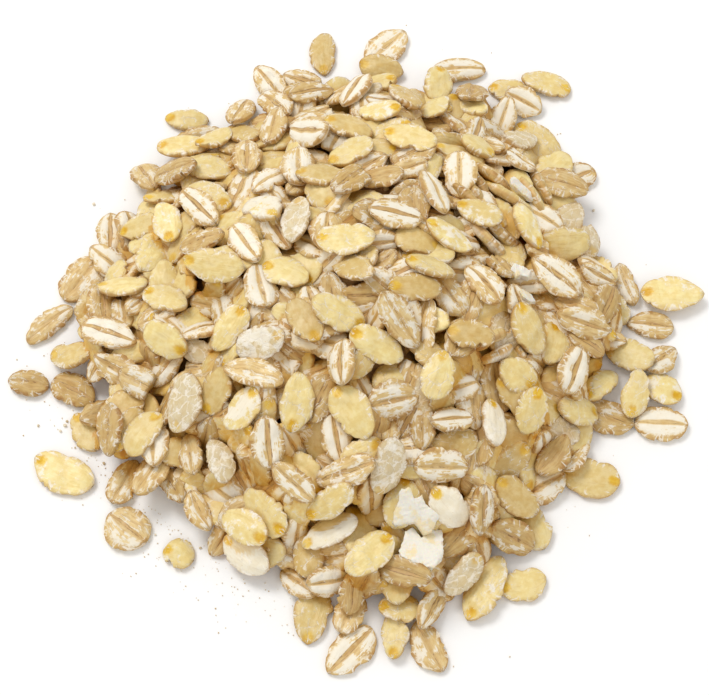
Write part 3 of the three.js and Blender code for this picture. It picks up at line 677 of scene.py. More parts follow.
def belly_relief(rng, share, x, y, v):
    """The crease, the lobes beside it and the folds that run along them."""
    fade = 1 - np.abs(share) ** 4
    wander = ripple(rng, x, 0 * y, 5.0, 0.09, waves=2)
    off = (y - wander) / CREASE_WIDTH
    line = (y - wander) / LINE_WIDTH
    depth = CREASE_DEPTH * rng.uniform(0.2, 1.2)
    groove = -(depth * np.exp(-off * off) + LINE_DEPTH * np.exp(-line * line)) * fade
    lobes = LOBE_HEIGHT * np.exp(-(((np.abs(v) - LOBE_PLACE) / 0.3) ** 2)) * fade
    phase = 2 * math.pi * FOLDS * np.abs(v) + ripple(rng, x, 0 * y, 4.0, 1.2, waves=2)
    folds = FOLD_HEIGHT * np.sin(phase) * fade * np.minimum(1, np.abs(v) * 4)
    return groove + lobes + folds


def back_relief(rng, flake, share, x, y, v):
    """The rounded back with its faint nerves, and the germ's dent at one tip."""
    middle = GERM_PLACE * 0.5 * flake["length"]
    away = np.hypot(x - middle, y / 0.8)
    germ = -GERM_DEPTH * np.exp(-(away**4)) + 0.04 * np.exp(-(((away - 1.35) / 0.35) ** 2))
    nerves = 0.014 * np.cos(2 * math.pi * v * 2.2 + rng.uniform(0, 6)) * (1 - share * share)
    dome = DOME_HEIGHT * (1 - share * share) * (1 - v * v)
    return dome + germ + nerves


def flake_surface(flake, number, detail):
    """Points of a flake, counted from its middle, with their places on it, for closed_rings."""
    rng = np.random.default_rng(SEED + number)
    stations, upper, lower = DETAIL[detail]
    v_up = mirrored(upper)
    v_down = mirrored(lower)[::-1]
    v = np.concatenate([[-1.0], v_up, [1.0], v_down])
    face = np.concatenate([[0.0], np.ones(len(v_up)), [0.0], -np.ones(len(v_down))])
    share = station_shares(flake, stations)[:, None] + 0 * v
    if flake["break_at"] < 1:
        share[-1] += ripple(rng, v * 2.5, 0, 1.6, 0.05, waves=3)
        share = np.minimum(share, LAST_SHARE)
    rim = np.where(v < 0, rim_factor(rng, flake, share), rim_factor(rng, flake, share))
    rim = 1 + (rim - 1) * np.abs(v) ** 3
    x = 0.5 * flake["length"] * share
    y = half_width(flake, share, rng.uniform(-SKEW, SKEW)) * v * rim
    x = x + ripple(rng, share * 4, v * 2.5, 3.0, 0.05) * np.abs(v)
    p, q = share, y / (0.5 * flake["width"])
    body = half_thickness(flake, p, q)
    relief = ripple(rng, x, y, 3.4, UNEVEN) + ripple(rng, x, y, 1.1, 0.22 * UNEVEN)
    if detail != "coarse":
        belly = belly_relief(rng, share, x, y, v)
        back = back_relief(rng, flake, share, x, y, v)
        is_belly = (face > 0) == flake["crease_up"]
        relief = relief + np.where(face == 0, 0, np.where(is_belly, belly, back))
    twist = rng.uniform(-TWIST, TWIST)
    z = bend_at(flake, p) + twist * p * q + face * (body + relief * (1 - 0.6 * q * q))
    z = z + np.where(face == 0, ripple(rng, x, y, 2.5, 0.05), 0)
    y = y + rng.uniform(-BOW, BOW) * (1 - 1.5 * share * share)
    tip_share = np.array([-1.0, min(flake["break_at"], LAST_SHARE)])
    tips = np.stack([0.5 * flake["length"] * tip_share, 0 * tip_share, bend_at(flake, tip_share)], axis=1)
    tips[:, 1] = y[[0, -1]].mean(axis=1)
    points = np.concatenate([np.stack([x, y, z], axis=2).reshape(-1, 3), tips])
    side = np.concatenate([np.broadcast_to(face, x.shape).ravel(), [0, 0]])
    side = side if flake["crease_up"] else -side
    grid = np.stack([share, np.broadcast_to(v, x.shape)], axis=2).reshape(-1, 2)
    grid = np.concatenate([grid, np.stack([tip_share, [0, 0]], axis=1)])
    return points, side, grid, stations, len(v), len(v_up) + 1


def closed_rings(rings, around):
    """The faces between rings of points, and those to two more points that close both ends."""
    k, j = (a.ravel() for a in np.meshgrid(np.arange(rings - 1), np.arange(around), indexing="ij"))
    after = (j + 1) % around
    a, b = k * around, (k + 1) * around
    quads = np.stack([a + j, b + j, b + after, a + after], axis=1)
    j = np.arange(around)
    after = (j + 1) % around
    last = (rings - 1) * around
    start = np.stack([0 * j + rings * around, j, after], axis=1)
    end = np.stack([0 * j + rings * around + 1, last + after, last + j], axis=1)
    return quads, np.concatenate([start, end])


def flake_faces(stations, count, upper):
    """A flake's faces, and for each of their corners a place on a map that is one unit wide and high.

    The upper face, with the given number of columns, has most of the map.
    """
    quads, triangles = (np.roll(faces, -1, axis=1) for faces in closed_rings(stations, count))
    k, j = (a.ravel() for a in np.meshgrid(np.arange(stations - 1), np.arange(count), indexing="ij"))
    left, right = map_columns(j, count, upper)
    low, high = (k + 1) / (stations + 1), (k + 2) / (stations + 1)
    quad_map = np.stack([left, high, right, high, right, low, left, low], axis=1).reshape(-1, 4, 2)
    left, right = map_columns(np.arange(count), count, upper)
    middle = (left + right) / 2
    low, high = 1 / (stations + 1) + 0 * left, stations / (stations + 1) + 0 * left
    start_map = np.stack([left, low, right, low, middle, 0 * low], axis=1).reshape(-1, 3, 2)
    end_map = np.stack([right, high, left, high, middle, 0 * low + 1], axis=1).reshape(-1, 3, 2)
    return quads, triangles, quad_map, np.concatenate([start_map, end_map])


def map_columns(j, count, upper):
    """Where on the map the strips between a flake's columns start and end."""
    above = j < upper
    start = np.where(above, 0.0, LOWER_MAP)
    step = np.where(above, UPPER_MAP / upper, (1 - LOWER_MAP) / (count - upper))
    left = start + np.where(above, j, j - upper) * step
    return left, left + step


def map_cells(sizes):
    """The corner and width of a square for each size, in rows that fill a map one unit wide and high."""
    order = np.argsort(-np.array(sizes), kind="stable")
    unit = 1.0
    while True:
        cells = np.zeros((len(sizes), 3))
        x, y, row = 0.0, 0.0, 0.0
        for k in order:
            side = sizes[k] * unit
            if x + side > 1:
                x, y, row = 0.0, y + row, 0.0
            row = max(row, side)
            cells[k] = x, y, side
            x += side
        if y + row <= 1:
            return cells
        unit *= 0.99


# ---------------------------------------------------------------- pieces of many flakes

# The looks of a flake: how tan, how starchy white, how greyed and crackled, how bright, and how strong its
# germ. Those below them are drawn for a flake with its crease up and for one with its back up.
LOOKS = {
    "tan": (0.7, 0.0, 0.0, 0.96, 0.8),
    "cream": (0.2, 0.15, 0.05, 1.0, 1.0),
    "pale": (0.0, 0.4, 0.1, 1.04, 1.0),
    "grey": (0.2, 0.3, 0.9, 1.0, 0.5),
    "starchy": (0.1, 1.1, 0.25, 1.06, 1.0),
    "mixed": (0.35, 0.5, 0.05, 1.0, 0.0),
    "white": (0.2, 0.8, 0.05, 1.03, 0.0),
    "brown": (0.8, 0.35, 0.05, 0.92, 0.0),
}
UPWARD_LOOKS = {
    True: ("mixed", "mixed", "white", "brown", "tan"),
    False: ("cream", "cream", "tan", "pale", "grey"),
}
LOOK_SHARES = (0.34, 0.22, 0.22, 0.12, 0.1)
LOOK_SPREAD = (0.12, 0.1, 0.05, 0.025, 0.08)
NO_GERM_SHARE = 0.25  # of the flakes that weren't listed


def look_of(flake, number):
    """A flake's look: its own if it was listed, or else drawn for it, and the same a little varied."""
    rng = np.random.default_rng(SEED * 3 + number)
    name = flake["look"] or rng.choice(UPWARD_LOOKS[flake["crease_up"]], p=LOOK_SHARES)
    look = np.array(LOOKS[name]) + rng.normal(0, LOOK_SPREAD)
    if not flake["look"] and rng.random() < NO_GERM_SHARE:
        look[4] = 0
    return str(name), np.clip(look, 0, 1.2)


def add_object(name, data):
    thing = bpy.data.objects.new(name, data)
    bpy.context.scene.collection.objects.link(thing)
    return thing


def new_piece(name, points, polygons, attributes, material, corner_map=None):
    """A mesh object from points in millimetres and arrays of three- or four-sided faces, on the root body.

    corner_map gives a place on a texture map for each corner of each face.
    """
    mesh = bpy.data.meshes.new(name)
    loops = np.concatenate([p.ravel() for p in polygons]).astype(np.int32)
    totals = np.concatenate([np.full(len(p), p.shape[1]) for p in polygons]).astype(np.int32)
    mesh.vertices.add(len(points))
    mesh.vertices.foreach_set("co", ((points - [*MIDDLE, 0]) * MM).astype(np.float32).ravel())
    mesh.loops.add(len(loops))
    mesh.loops.foreach_set("vertex_index", loops)
    mesh.polygons.add(len(totals))
    mesh.polygons.foreach_set("loop_start", np.concatenate([[0], np.cumsum(totals)[:-1]]).astype(np.int32))
    mesh.polygons.foreach_set("loop_total", totals)
    mesh.polygons.foreach_set("use_smooth", np.ones(len(totals), bool))
    mesh.update(calc_edges=True)
    for label, values in attributes.items():
        attribute = mesh.attributes.new(label, "FLOAT_VECTOR", "POINT")
        attribute.data.foreach_set("vector", values.astype(np.float32).ravel())
    if corner_map is not None:
        mesh.uv_layers.new(name="OFBake").uv.foreach_set("vector", corner_map.astype(np.float32).ravel())
    mesh.materials.append(material)
    piece = add_object(name, mesh)
    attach(piece, "root")
    return piece


TABLE_CLEAR = 0.03  # how far off the table a flake's lowest points lie
MAP_EDGE = 0.03  # what stays free along the edges of a flake's square on the map
SHOWS_WELL = 40  # cells of the height map in which a finely made flake shows
SHOWS_PARTLY = 4
PATTERN_STEP, PATTERN_SPAN = 7.31, 97  # of the value that gives each flake patterns of its own
# The skin's height, from which the painted shade on flakes deep in the gaps is measured.
LEVEL_REACH = 2.5  # how far round a place the height of the heap's skin is judged
heap_level = surroundings(heights, LEVEL_REACH, SKIN_SHARE).ravel()


def placed_points(flake, points):
    """Points of a flake where it lies, none of them under the table."""
    along, across, up = axes_of(flake)
    placed = np.array([flake["x"], flake["y"], flake["z"]]) + points @ np.stack([along, across, up])
    placed[:, 2] = np.maximum(placed[:, 2], TABLE_CLEAR)
    return placed


shown = np.bincount(top_flake[top_flake >= 0], minlength=len(flakes))


def detail_of(number):
    flake = flakes[number]
    if shown[number] > SHOWS_WELL or flake["look"] or near_edge_flakes(flake, 2 * EDGE_CLEAR):
        return "fine"
    return "middle" if shown[number] > SHOWS_PARTLY else "coarse"


def flake_piece(name, numbers, material):
    """One piece of the named flakes, with each point's place on its flake and its flake's look."""
    points, quads, triangles, quad_maps, triangle_maps = [], [], [], [], []
    cells = map_cells([MAP_SIZES[detail_of(number)] for number in numbers])
    rows = {}
    count = 0
    for number, cell in zip(numbers, cells, strict=True):
        flake = flakes[number]
        own, side, grid, stations, around, upper = flake_surface(flake, number, detail_of(number))
        own_quads, own_triangles, quad_map, triangle_map = flake_faces(stations, around, upper)
        for maps, corners in ((quad_maps, quad_map), (triangle_maps, triangle_map)):
            maps.append(cell[:2] + cell[2] * (MAP_EDGE + (1 - 2 * MAP_EDGE) * corners))
        _, look = look_of(flake, number)
        placed = placed_points(flake, own)
        points.append(placed)
        quads.append(own_quads + count)
        triangles.append(own_triangles + count)
        own_rows = {
            "place": (own[:, 0], own[:, 1], side),
            "grid": (grid[:, 0], grid[:, 1], 0),
            "tone": look[:3],
            "form": (0.5 * flake["length"], 0.5 * flake["width"], number * PATTERN_STEP % PATTERN_SPAN),
            "bright_germ": (look[3], look[4], 0),
            # how far a point lies under the heap's skin, which sets the painted shade in the gaps
            "depth": (heap_level[cell_at(placed[:, 0], placed[:, 1])] - placed[:, 2], 0, 0),
        }
        for label, values in own_rows.items():
            rows.setdefault(label, []).append(np.stack([value + 0 * side for value in values], axis=1))
        count += len(own)
    attributes = {label: np.concatenate(values) for label, values in rows.items()}
    polygons = [np.concatenate(quads), np.concatenate(triangles)]
    corner_map = np.concatenate([np.concatenate(m).reshape(-1, 2) for m in (quad_maps, triangle_maps)])
    return new_piece(name, np.concatenate(points), polygons, attributes, material, corner_map)


# ---------------------------------------------------------------- materials


def linear(red, green, blue, alpha=1.0):
    """A colour given as on a screen, from 0 to 255."""
    shares = [c / 255 for c in (red, green, blue)]
    return (*[s / 12.92 if s <= 0.04045 else ((s + 0.055) / 1.055) ** 2.4 for s in shares], alpha)


class Nodes:
    """Short names for adding shader nodes. A socket or a plain value can be given for any input."""

    def __init__(self, name):
        self.material = bpy.data.materials.new(name)
        self.material.use_nodes = True
        self.tree = self.material.node_tree
        self.tree.nodes.clear()

    def add(self, kind, inputs=(), output=0, **settings):
        node = self.tree.nodes.new(kind)
        for key, value in settings.items():
            setattr(node, key, value)
        for key, value in dict(inputs).items():
            if isinstance(value, bpy.types.NodeSocket):
                self.tree.links.new(value, node.inputs[key])
            else:
                node.inputs[key].default_value = value
        return node if output is None else node.outputs[output]

    def math(self, operation, a, b=0.0, clamp=False):
        return self.add("ShaderNodeMath", {0: a, 1: b}, operation=operation, use_clamp=clamp)

    def times(self, a, b, clamp=False):
        return self.math("MULTIPLY", a, b, clamp)

    def plus(self, a, b, clamp=False):
        return self.math("ADD", a, b, clamp)

    def minus(self, a, b):
        return self.math("SUBTRACT", a, b)

    def swing(self, share, width):
        """A value from 0 to 1 as one that swings round 0."""
        return self.times(self.minus(share, 0.5), width)

    def blend(self, first, second, share):
        """The given share of the first value, and the rest of the second."""
        return self.plus(self.times(first, share), self.times(second, 1 - share))

    def attribute(self, name):
        node = self.add("ShaderNodeAttribute", output=None, attribute_name=name)
        return self.add("ShaderNodeSeparateXYZ", {0: node.outputs["Vector"]}, output=None).outputs

    def place(self):
        return self.add("ShaderNodeTexCoord", output=3)

    def vector(self, x, y, z):
        return self.add("ShaderNodeCombineXYZ", {0: x, 1: y, 2: z})

    def noise(self, vector, scale, detail=2.0, roughness=0.5):
        inputs = {"Vector": vector, "Scale": scale, "Detail": detail, "Roughness": roughness}
        return self.add("ShaderNodeTexNoise", inputs)

    def cracks(self, vector, scale):
        """0 on the edges between cells, and more inside them."""
        inputs = {"Vector": vector, "Scale": scale}
        return self.add("ShaderNodeTexVoronoi", inputs, feature="DISTANCE_TO_EDGE")

    def step(self, value, low, high, to_low=0.0, to_high=1.0):
        inputs = {0: value, 1: low, 2: high, 3: to_low, 4: to_high}
        return self.add("ShaderNodeMapRange", inputs, interpolation_type="SMOOTHSTEP")

    def mix(self, share, first, second, blend="MIX"):
        inputs = {0: share, 6: first, 7: second}
        return self.add("ShaderNodeMix", inputs, output=2, data_type="RGBA", blend_type=blend)

    def finish(self, colour, roughness, bump_height, bump_depth, subsurface=0.0, specular=0.4):
        bump = self.add("ShaderNodeBump", {"Height": bump_height, "Strength": 1.0, "Distance": bump_depth})
        shader = self.add("ShaderNodeBsdfPrincipled", {
            "Base Color": colour,
            "Normal": bump,
            "Roughness": roughness,
            "Specular IOR Level": specular,
            "Subsurface Weight": subsurface,
            "Subsurface Radius": (1.0, 0.62, 0.3),
            "Subsurface Scale": 0.0006,
        })
        self.add("ShaderNodeOutputMaterial", {"Surface": shader}, output=None)
        return self.material


# Colours as they show on a screen.
CREAM = linear(237, 218, 170)
BUTTER = linear(242, 228, 168)
TAN = linear(209, 178, 112)
BRAN = linear(176, 130, 72)
CREASE_BROWN = linear(196, 158, 108)
CREASE_DARK = linear(112, 74, 42)
STARCH = linear(240, 234, 218)
CRACK = linear(244, 238, 225)
GERM = linear(234, 198, 72)
GERM_DEEP = linear(222, 176, 30)
EDGE = linear(214, 178, 118)
MOTTLE = linear(243, 232, 210)  # what a flake's darker patches are tinted with
GAP_SHADE = linear(242, 210, 138)  # painted shade, warm as light bounced between flakes, that flakes deep in a gap are tinted with
GREY = linear(220, 208, 180)
SHADE = linear(226, 204, 164)  # what broad patches of a flake are tinted with


def belly_colour(n, p):
    """A brown crease with dark lines in it, chalky lobes beside it and bran in dashes along the rim."""
    belly = n.mix(n.plus(n.times(p.tan, 0.85), 0.05, clamp=True), CREAM, TAN)
    belly = n.mix(n.times(n.step(p.streak, 0.42, 0.62), 0.4), belly, BRAN)
    on_lobe = n.times(n.step(p.wide_v, 0.1, 0.2), n.step(p.ragged_out, 0.6, 0.84, 1.0, 0.08))
    patches = n.blend(p.broad, p.streak, 0.6)
    chalk_from = n.step(p.starch, 0.0, 1.0, 0.62, 0.36)
    chalk = n.times(n.step(n.minus(patches, chalk_from), 0.0, 0.04), on_lobe)
    belly = n.mix(n.times(chalk, n.step(p.starch, 0.0, 0.7, 0.6, 1.0)), belly, STARCH)
    rim = n.step(p.ragged_out, 0.7, 0.9)
    dashes = n.step(n.noise(p.round, 2.3, 2.0), 0.44, 0.56)
    belly = n.mix(n.times(rim, 0.6), belly, TAN)
    bran = n.times(rim, n.times(dashes, n.step(p.tan, 0.0, 0.9, 0.55, 0.9)))
    belly = n.mix(bran, belly, BRAN)
    taper = n.minus(n.step(p.kind, 0.5, 1.0, 0.4, 0.6), n.times(p.out_x, 0.3))
    in_strip = n.math("DIVIDE", n.plus(p.off, n.swing(p.streak, 0.7)), taper)
    strip = n.step(in_strip, 0.55, 1.0, 1.0, 0.0)
    strip_colour = n.mix(n.step(p.streak, 0.4, 0.6), CREASE_BROWN, TAN)
    strip = n.times(strip, n.step(n.noise(p.along, 0.55, 2.0), 0.3, 0.5, 0.35, 0.85))
    strip = n.times(strip, n.step(p.kind, 0.2, 0.5, 0.35, 1.0))
    belly = n.mix(strip, belly, strip_colour)
    to_line = n.math("ABSOLUTE", n.minus(in_strip, n.step(p.kind, 0.4, 0.6, 0.0, 0.62)))
    line = n.times(n.step(to_line, 0.05, 0.2, 1.0, 0.0), n.step(n.noise(p.along, 0.9), 0.36, 0.52))
    belly = n.mix(n.times(line, n.step(p.out_x, 0.6, 0.95, 0.65, 0.1)), belly, CREASE_DARK)
    return belly, chalk


def back_colour(n, p):
    """Smooth and yellow, with the germ at one tip."""
    back = n.mix(n.times(p.tan, 0.95, clamp=True), BUTTER, TAN)
    back = n.mix(n.step(p.broad, 0.42, 0.62, 0.0, 0.3), back, CREAM)
    back = n.mix(n.step(p.crackle, 0.2, 0.8, 0.0, 0.85), back, GREY)
    chalk_from = n.step(p.starch, 0.0, 1.0, 0.66, 0.28)
    patches = n.blend(p.broad, p.fine, 0.7)
    chalk = n.step(n.minus(patches, chalk_from), 0.0, 0.07)
    back = n.mix(n.times(chalk, 0.85), back, STARCH)
    back = n.mix(n.times(n.step(p.streak, 0.5, 0.72), 0.12), back, BRAN)
    rim = n.times(n.step(p.ragged_out, 0.78, 1.0), n.step(p.tan, 0.0, 1.0, 0.35, 0.7))
    back = n.mix(rim, back, BRAN)
    germ_x = n.minus(p.x, n.times(p.half_length, GERM_PLACE))
    germ_y = n.times(p.y, 1.25)
    germ_far = n.plus(n.times(germ_x, germ_x), n.times(germ_y, germ_y))
    germ_far = n.plus(n.math("SQRT", germ_far), n.swing(p.fine, 0.9))
    spot = n.times(n.step(germ_far, 0.6, 1.35, 1.0, 0.0), p.germ, clamp=True)
    return n.mix(spot, back, n.mix(n.step(p.broad, 0.4, 0.6), GERM_DEEP, GERM)), chalk


def flake_material():
    n = Nodes("rolled_barley")
    x, y, side = n.attribute("place")
    share, v, _ = n.attribute("grid")
    tan, starch, crackle = n.attribute("tone")
    half_length, half_across, seed = n.attribute("form")
    bright, germ, _ = n.attribute("bright_germ")
    on_flake = n.vector(x, y, seed)
    along = n.vector(n.times(x, 0.16), n.times(v, half_across), seed)
    squares = n.plus(n.times(share, share), n.times(v, v))
    out_x = n.math("ABSOLUTE", share)
    wide_v = n.math("ABSOLUTE", v)
    out = n.math("MAXIMUM", wide_v, n.step(out_x, 0.6, 1.0, 0.0, 1.0))
    reach = n.math("MAXIMUM", n.math("SQRT", squares), 0.05)
    turned = n.plus(seed, n.times(out, 0.3))
    around = n.vector(n.math("DIVIDE", share, reach), n.math("DIVIDE", v, reach), turned)
    broad = n.noise(on_flake, 0.5, 3.0, 0.55)
    fine = n.noise(on_flake, 2.4, 4.0, 0.6)
    streak = n.noise(along, 2.6, 3.0, 0.6)
    wander = n.swing(n.noise(along, 1.2, 1.0), 0.5)
    ragged = n.swing(fine, 0.5)
    p = SimpleNamespace(
        x=x, y=y, half_length=half_length, tan=tan, starch=starch, crackle=crackle, germ=germ,
        broad=broad, fine=fine, streak=streak, along=on_flake, round=around,
        out_x=out_x, wide_v=wide_v, ragged_out=n.plus(out, ragged),
        off=n.math("ABSOLUTE", n.plus(y, wander)), kind=n.math("FRACT", n.times(seed, 0.37)),
    )
    belly, chalk = belly_colour(n, p)
    back, back_chalk = back_colour(n, p)
    is_belly = n.step(side, -0.35, 0.35)
    colour = n.mix(is_belly, back, belly)
    chalk = n.math("MAXIMUM", n.times(chalk, is_belly), n.minus(back_chalk, is_belly))
    dusty = n.minus(1.0, n.times(chalk, 0.6))

    # Short pale cracks that run in from the rim, and a faint net of them on the greyed flakes.
    jitter = n.swing(n.noise(on_flake, 1.1, 3.0, 0.6), 1.5)
    shift = n.times(jitter, 0.15)
    rim_at = n.add("ShaderNodeVectorMath", {0: around, 1: n.vector(shift, shift, 0.0)}, operation="ADD")
    rim_net = n.cracks(rim_at, 3.2)
    rim_crack = n.times(n.step(rim_net, 0.02, 0.1, 1.0, 0.0), n.step(p.ragged_out, 0.55, 0.8))
    rim_crack = n.times(rim_crack, n.step(n.noise(on_flake, 0.8, 1.0), 0.42, 0.5))
    net_at = n.vector(n.plus(n.times(x, 0.8), jitter), n.minus(y, jitter), seed)
    thick = n.plus(n.step(n.noise(on_flake, 1.1, 2.0), 0.36, 0.62, 0.0, 0.07), n.times(crackle, 0.05))
    net = n.math("DIVIDE", n.cracks(net_at, 0.75), n.plus(thick, 0.001))
    net = n.step(net, 0.25, 1.0, 1.0, 0.0)
    cracked = n.step(n.math("FRACT", n.times(seed, 0.61)), 0.5, 0.6)
    some = n.times(n.step(broad, 0.44, 0.54, 0.0, 0.9), cracked)
    net_share = n.math("MAXIMUM", n.step(crackle, 0.2, 0.6), some)
    net = n.times(net, net_share)
    pale = n.math("MAXIMUM", n.times(rim_crack, 0.95), n.times(net, 0.9))
    colour = n.mix(pale, colour, CRACK)

    edge = n.minus(1.0, n.math("ABSOLUTE", side))
    colour = n.mix(n.step(edge, 0.3, 1.0, 0.0, 0.75), colour, EDGE)
    tinted = n.times(n.step(broad, 0.35, 0.7, 0.0, 0.3), dusty)
    colour = n.mix(tinted, colour, SHADE, blend="MULTIPLY")
    # Painted shade: the deeper a point lies under the heap's skin, the darker and warmer it is made, as shade
    # and light bounced between flakes would make it.
    depth, _, _ = n.attribute("depth")
    colour = n.mix(n.step(depth, 0.6, 3.6), colour, GAP_SHADE, blend="MULTIPLY")
    strength = n.vector(bright, bright, bright)
    colour = n.mix(1.0, colour, strength, blend="MULTIPLY")
    mottle = n.blend(n.noise(on_flake, 1.0, 3.0), broad, 0.5)
    colour = n.mix(n.times(n.step(mottle, 0.62, 0.36), dusty), colour, MOTTLE, blend="MULTIPLY")
    speck = n.times(n.step(n.noise(on_flake, 3.4, 1.0), 0.74, 0.8), 0.6)
    colour = n.mix(speck, colour, CREASE_BROWN)
    roughness = n.plus(n.times(chalk, 0.2), n.step(side, -0.5, 0.5, 0.33, 0.45))
    height = n.blend(streak, fine, 0.6)
    height = n.minus(height, n.times(pale, 0.25))
    return n.finish(colour, roughness, height, 0.00016)


def painted_shade_core_material():
    n = Nodes("barley_core")
    where = n.place()
    speck = n.noise(where, 420.0, 4.0, 0.6)
    # Painted shade: the core is a darker brown than the flakes, so that where it shows between them the gaps
    # look deep and shaded. The speckle over it is texture.
    colour = n.mix(n.step(speck, 0.35, 0.65), linear(118, 82, 38), linear(170, 128, 74))
    return n.finish(colour, 0.85, speck, 0.0004)


def starch_material():
    n = Nodes("barley_starch")
    where = n.place()
    speck = n.noise(where, 900.0, 4.0, 0.7)
    patch = n.noise(where, 420.0, 3.0, 0.55)
    colour = n.mix(n.step(patch, 0.48, 0.6, 0.0, 0.8), linear(236, 231, 218), CREAM)
    return n.finish(colour, 0.9, speck, 0.0002, subsurface=0.2)


def crumb_material():
    n = Nodes("barley_crumbs")
    where = n.place()
    colour = n.mix(n.step(n.noise(where, 300.0, 1.0), 0.4, 0.6), linear(196, 172, 132), linear(232, 220, 196))
    return n.finish(colour, 0.85, n.noise(where, 2500.0, 2.0), 0.00005)


def table_material():
    n = Nodes("pale_table")
    where = n.place()
    colour = n.mix(n.noise(where, 30.0, 2.0), linear(246, 246, 245), linear(250, 250, 249))
    return n.finish(colour, 0.7, n.noise(where, 900.0, 2.0), 0.00002, specular=0.2)


# ---------------------------------------------------------------- the core, starch and crumbs

CORE_DEPTH = 0.8  # how far the scene's own core stays under the lowest flakes near each place
CORE_REACH = 2.5  # how near those are
CORE_INSET = 6.0  # how far inside the heap's rim it ends
CORE_FOOT = 0.55  # how steeply its foot rises
CORE_LEAST = 0.25  # its least height, but for its rim
CORE_RIM_HEIGHT = 0.15
CORE_LIFT = 0.02  # how far off the table its flat foot lies
CORE_SEED, CRUMB_SEED, LUMP_SEED = SEED + 5000, SEED + 7000, SEED + 9000
CORE_SECTORS = 120
CORE_RINGS = 40
LOWEST_SHARE = 0.04  # the share of the cells near a place that lie under its lowest flakes' height
SLAB_REACH = 1.6  # how far round a place a slab of starch rests on what is below it
SLAB_SPAN = 2  # how far from its middle the slope under a slab is judged


def mean_height(x, y):
    total = heights[cell_at(x, y)]
    for k in range(12):
        a = k * math.pi / 6
        r = SLAB_REACH if k % 2 else 0.5 * SLAB_REACH
        total = total + heights[cell_at(x + r * math.cos(a), y + r * math.sin(a))]
    return total / 13


def core_piece(material):
    """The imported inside: a lumpy mound under the flakes that show, closed by a flat foot."""
    rng = np.random.default_rng(CORE_SEED)
    lowest = surroundings(heights, CORE_REACH, LOWEST_SHARE).ravel()
    angle = np.arange(CORE_SECTORS) * 2 * math.pi / CORE_SECTORS
    share = np.arange(1, CORE_RINGS + 1) / CORE_RINGS
    rim = rim_radius(angle) - CORE_INSET
    radius = share[:, None] * rim
    x, y = radius * np.cos(angle), radius * np.sin(angle)
    lumps = ripple(rng, x, y, 4.5, 0.3) + ripple(rng, x, y, 2.2, 0.15)
    z = np.maximum(CORE_LEAST, lowest[cell_at(x, y)] - CORE_DEPTH + lumps)
    z = np.minimum(z, CORE_RIM_HEIGHT + CORE_FOOT * (rim - radius))
    rings = np.stack([x, y, z], axis=2).reshape(-1, 3)
    foot = np.stack([x[-1], y[-1], 0 * x[-1] + CORE_LIFT], axis=1)
    points = np.concatenate([rings, foot, [[0, 0, z[0].mean()], [0, 0, CORE_LIFT]]])
    return new_piece("barley_core", points, closed_rings(CORE_RINGS + 1, CORE_SECTORS), {}, material)


def reach_of(outline, angle):
    """How far an outline, given as corners round the origin, reaches at each angle."""
    at = [math.atan2(y, x) % (2 * math.pi) for x, y in outline]
    corners = np.array(outline)[np.argsort(at)]
    after = np.searchsorted(np.sort(at), angle, side="right")
    (ax, ay), (bx, by) = corners[after - 1].T, corners[after % len(corners)].T
    return (ax * by - ay * bx) / (np.cos(angle) * (by - ay) - np.sin(angle) * (bx - ax))


def lump(rng, outline, height, columns, rings):
    """Points of a rough slab with the given outline, for closed_rings."""
    angle = np.arange(columns) * 2 * math.pi / columns
    rise = np.linspace(0, math.pi, rings + 2)[1:-1, None]
    reach = reach_of(outline, angle)
    size = reach.mean()
    flat = np.sin(rise) ** 0.4
    x, y = flat * reach * np.cos(angle), flat * reach * np.sin(angle)
    z = 0.5 * height * np.sign(np.cos(rise)) * np.abs(np.cos(rise)) ** 0.2 + 0 * angle
    rough = 1 + ripple(rng, x + z, y - z, 0.5 * size, 0.03) + ripple(rng, x - z, y + z, 0.2 * size, 0.02)
    z = z * (1 + ripple(rng, x, y, 1.1 * size, 0.16)) + ripple(rng, x, y, 0.25 * size, 0.03 * height)
    points = np.stack([x * rough, y * rough, z], axis=2).reshape(-1, 3)
    return np.concatenate([points, [[0, 0, z[0].mean()], [0, 0, z[-1].mean()]]])


def lump_piece(name, lumps, material, columns, rings):
    """One piece of lumps, each given as its place, its slope, its outline and its height."""
    points = []
    for number, (place, slope, outline, height) in enumerate(lumps):
        own = lump(np.random.default_rng(LUMP_SEED + number), outline, height, columns, rings)
        own[:, 2] += own[:, 0] * slope[0] + own[:, 1] * slope[1]
        points.append(own + np.array(place))
    starts = np.arange(len(points)) * len(points[0])
    faces = closed_rings(rings, columns)
    polygons = [np.concatenate([own + start for start in starts]) for own in faces]
    return new_piece(name, np.concatenate(points), polygons, {}, material)


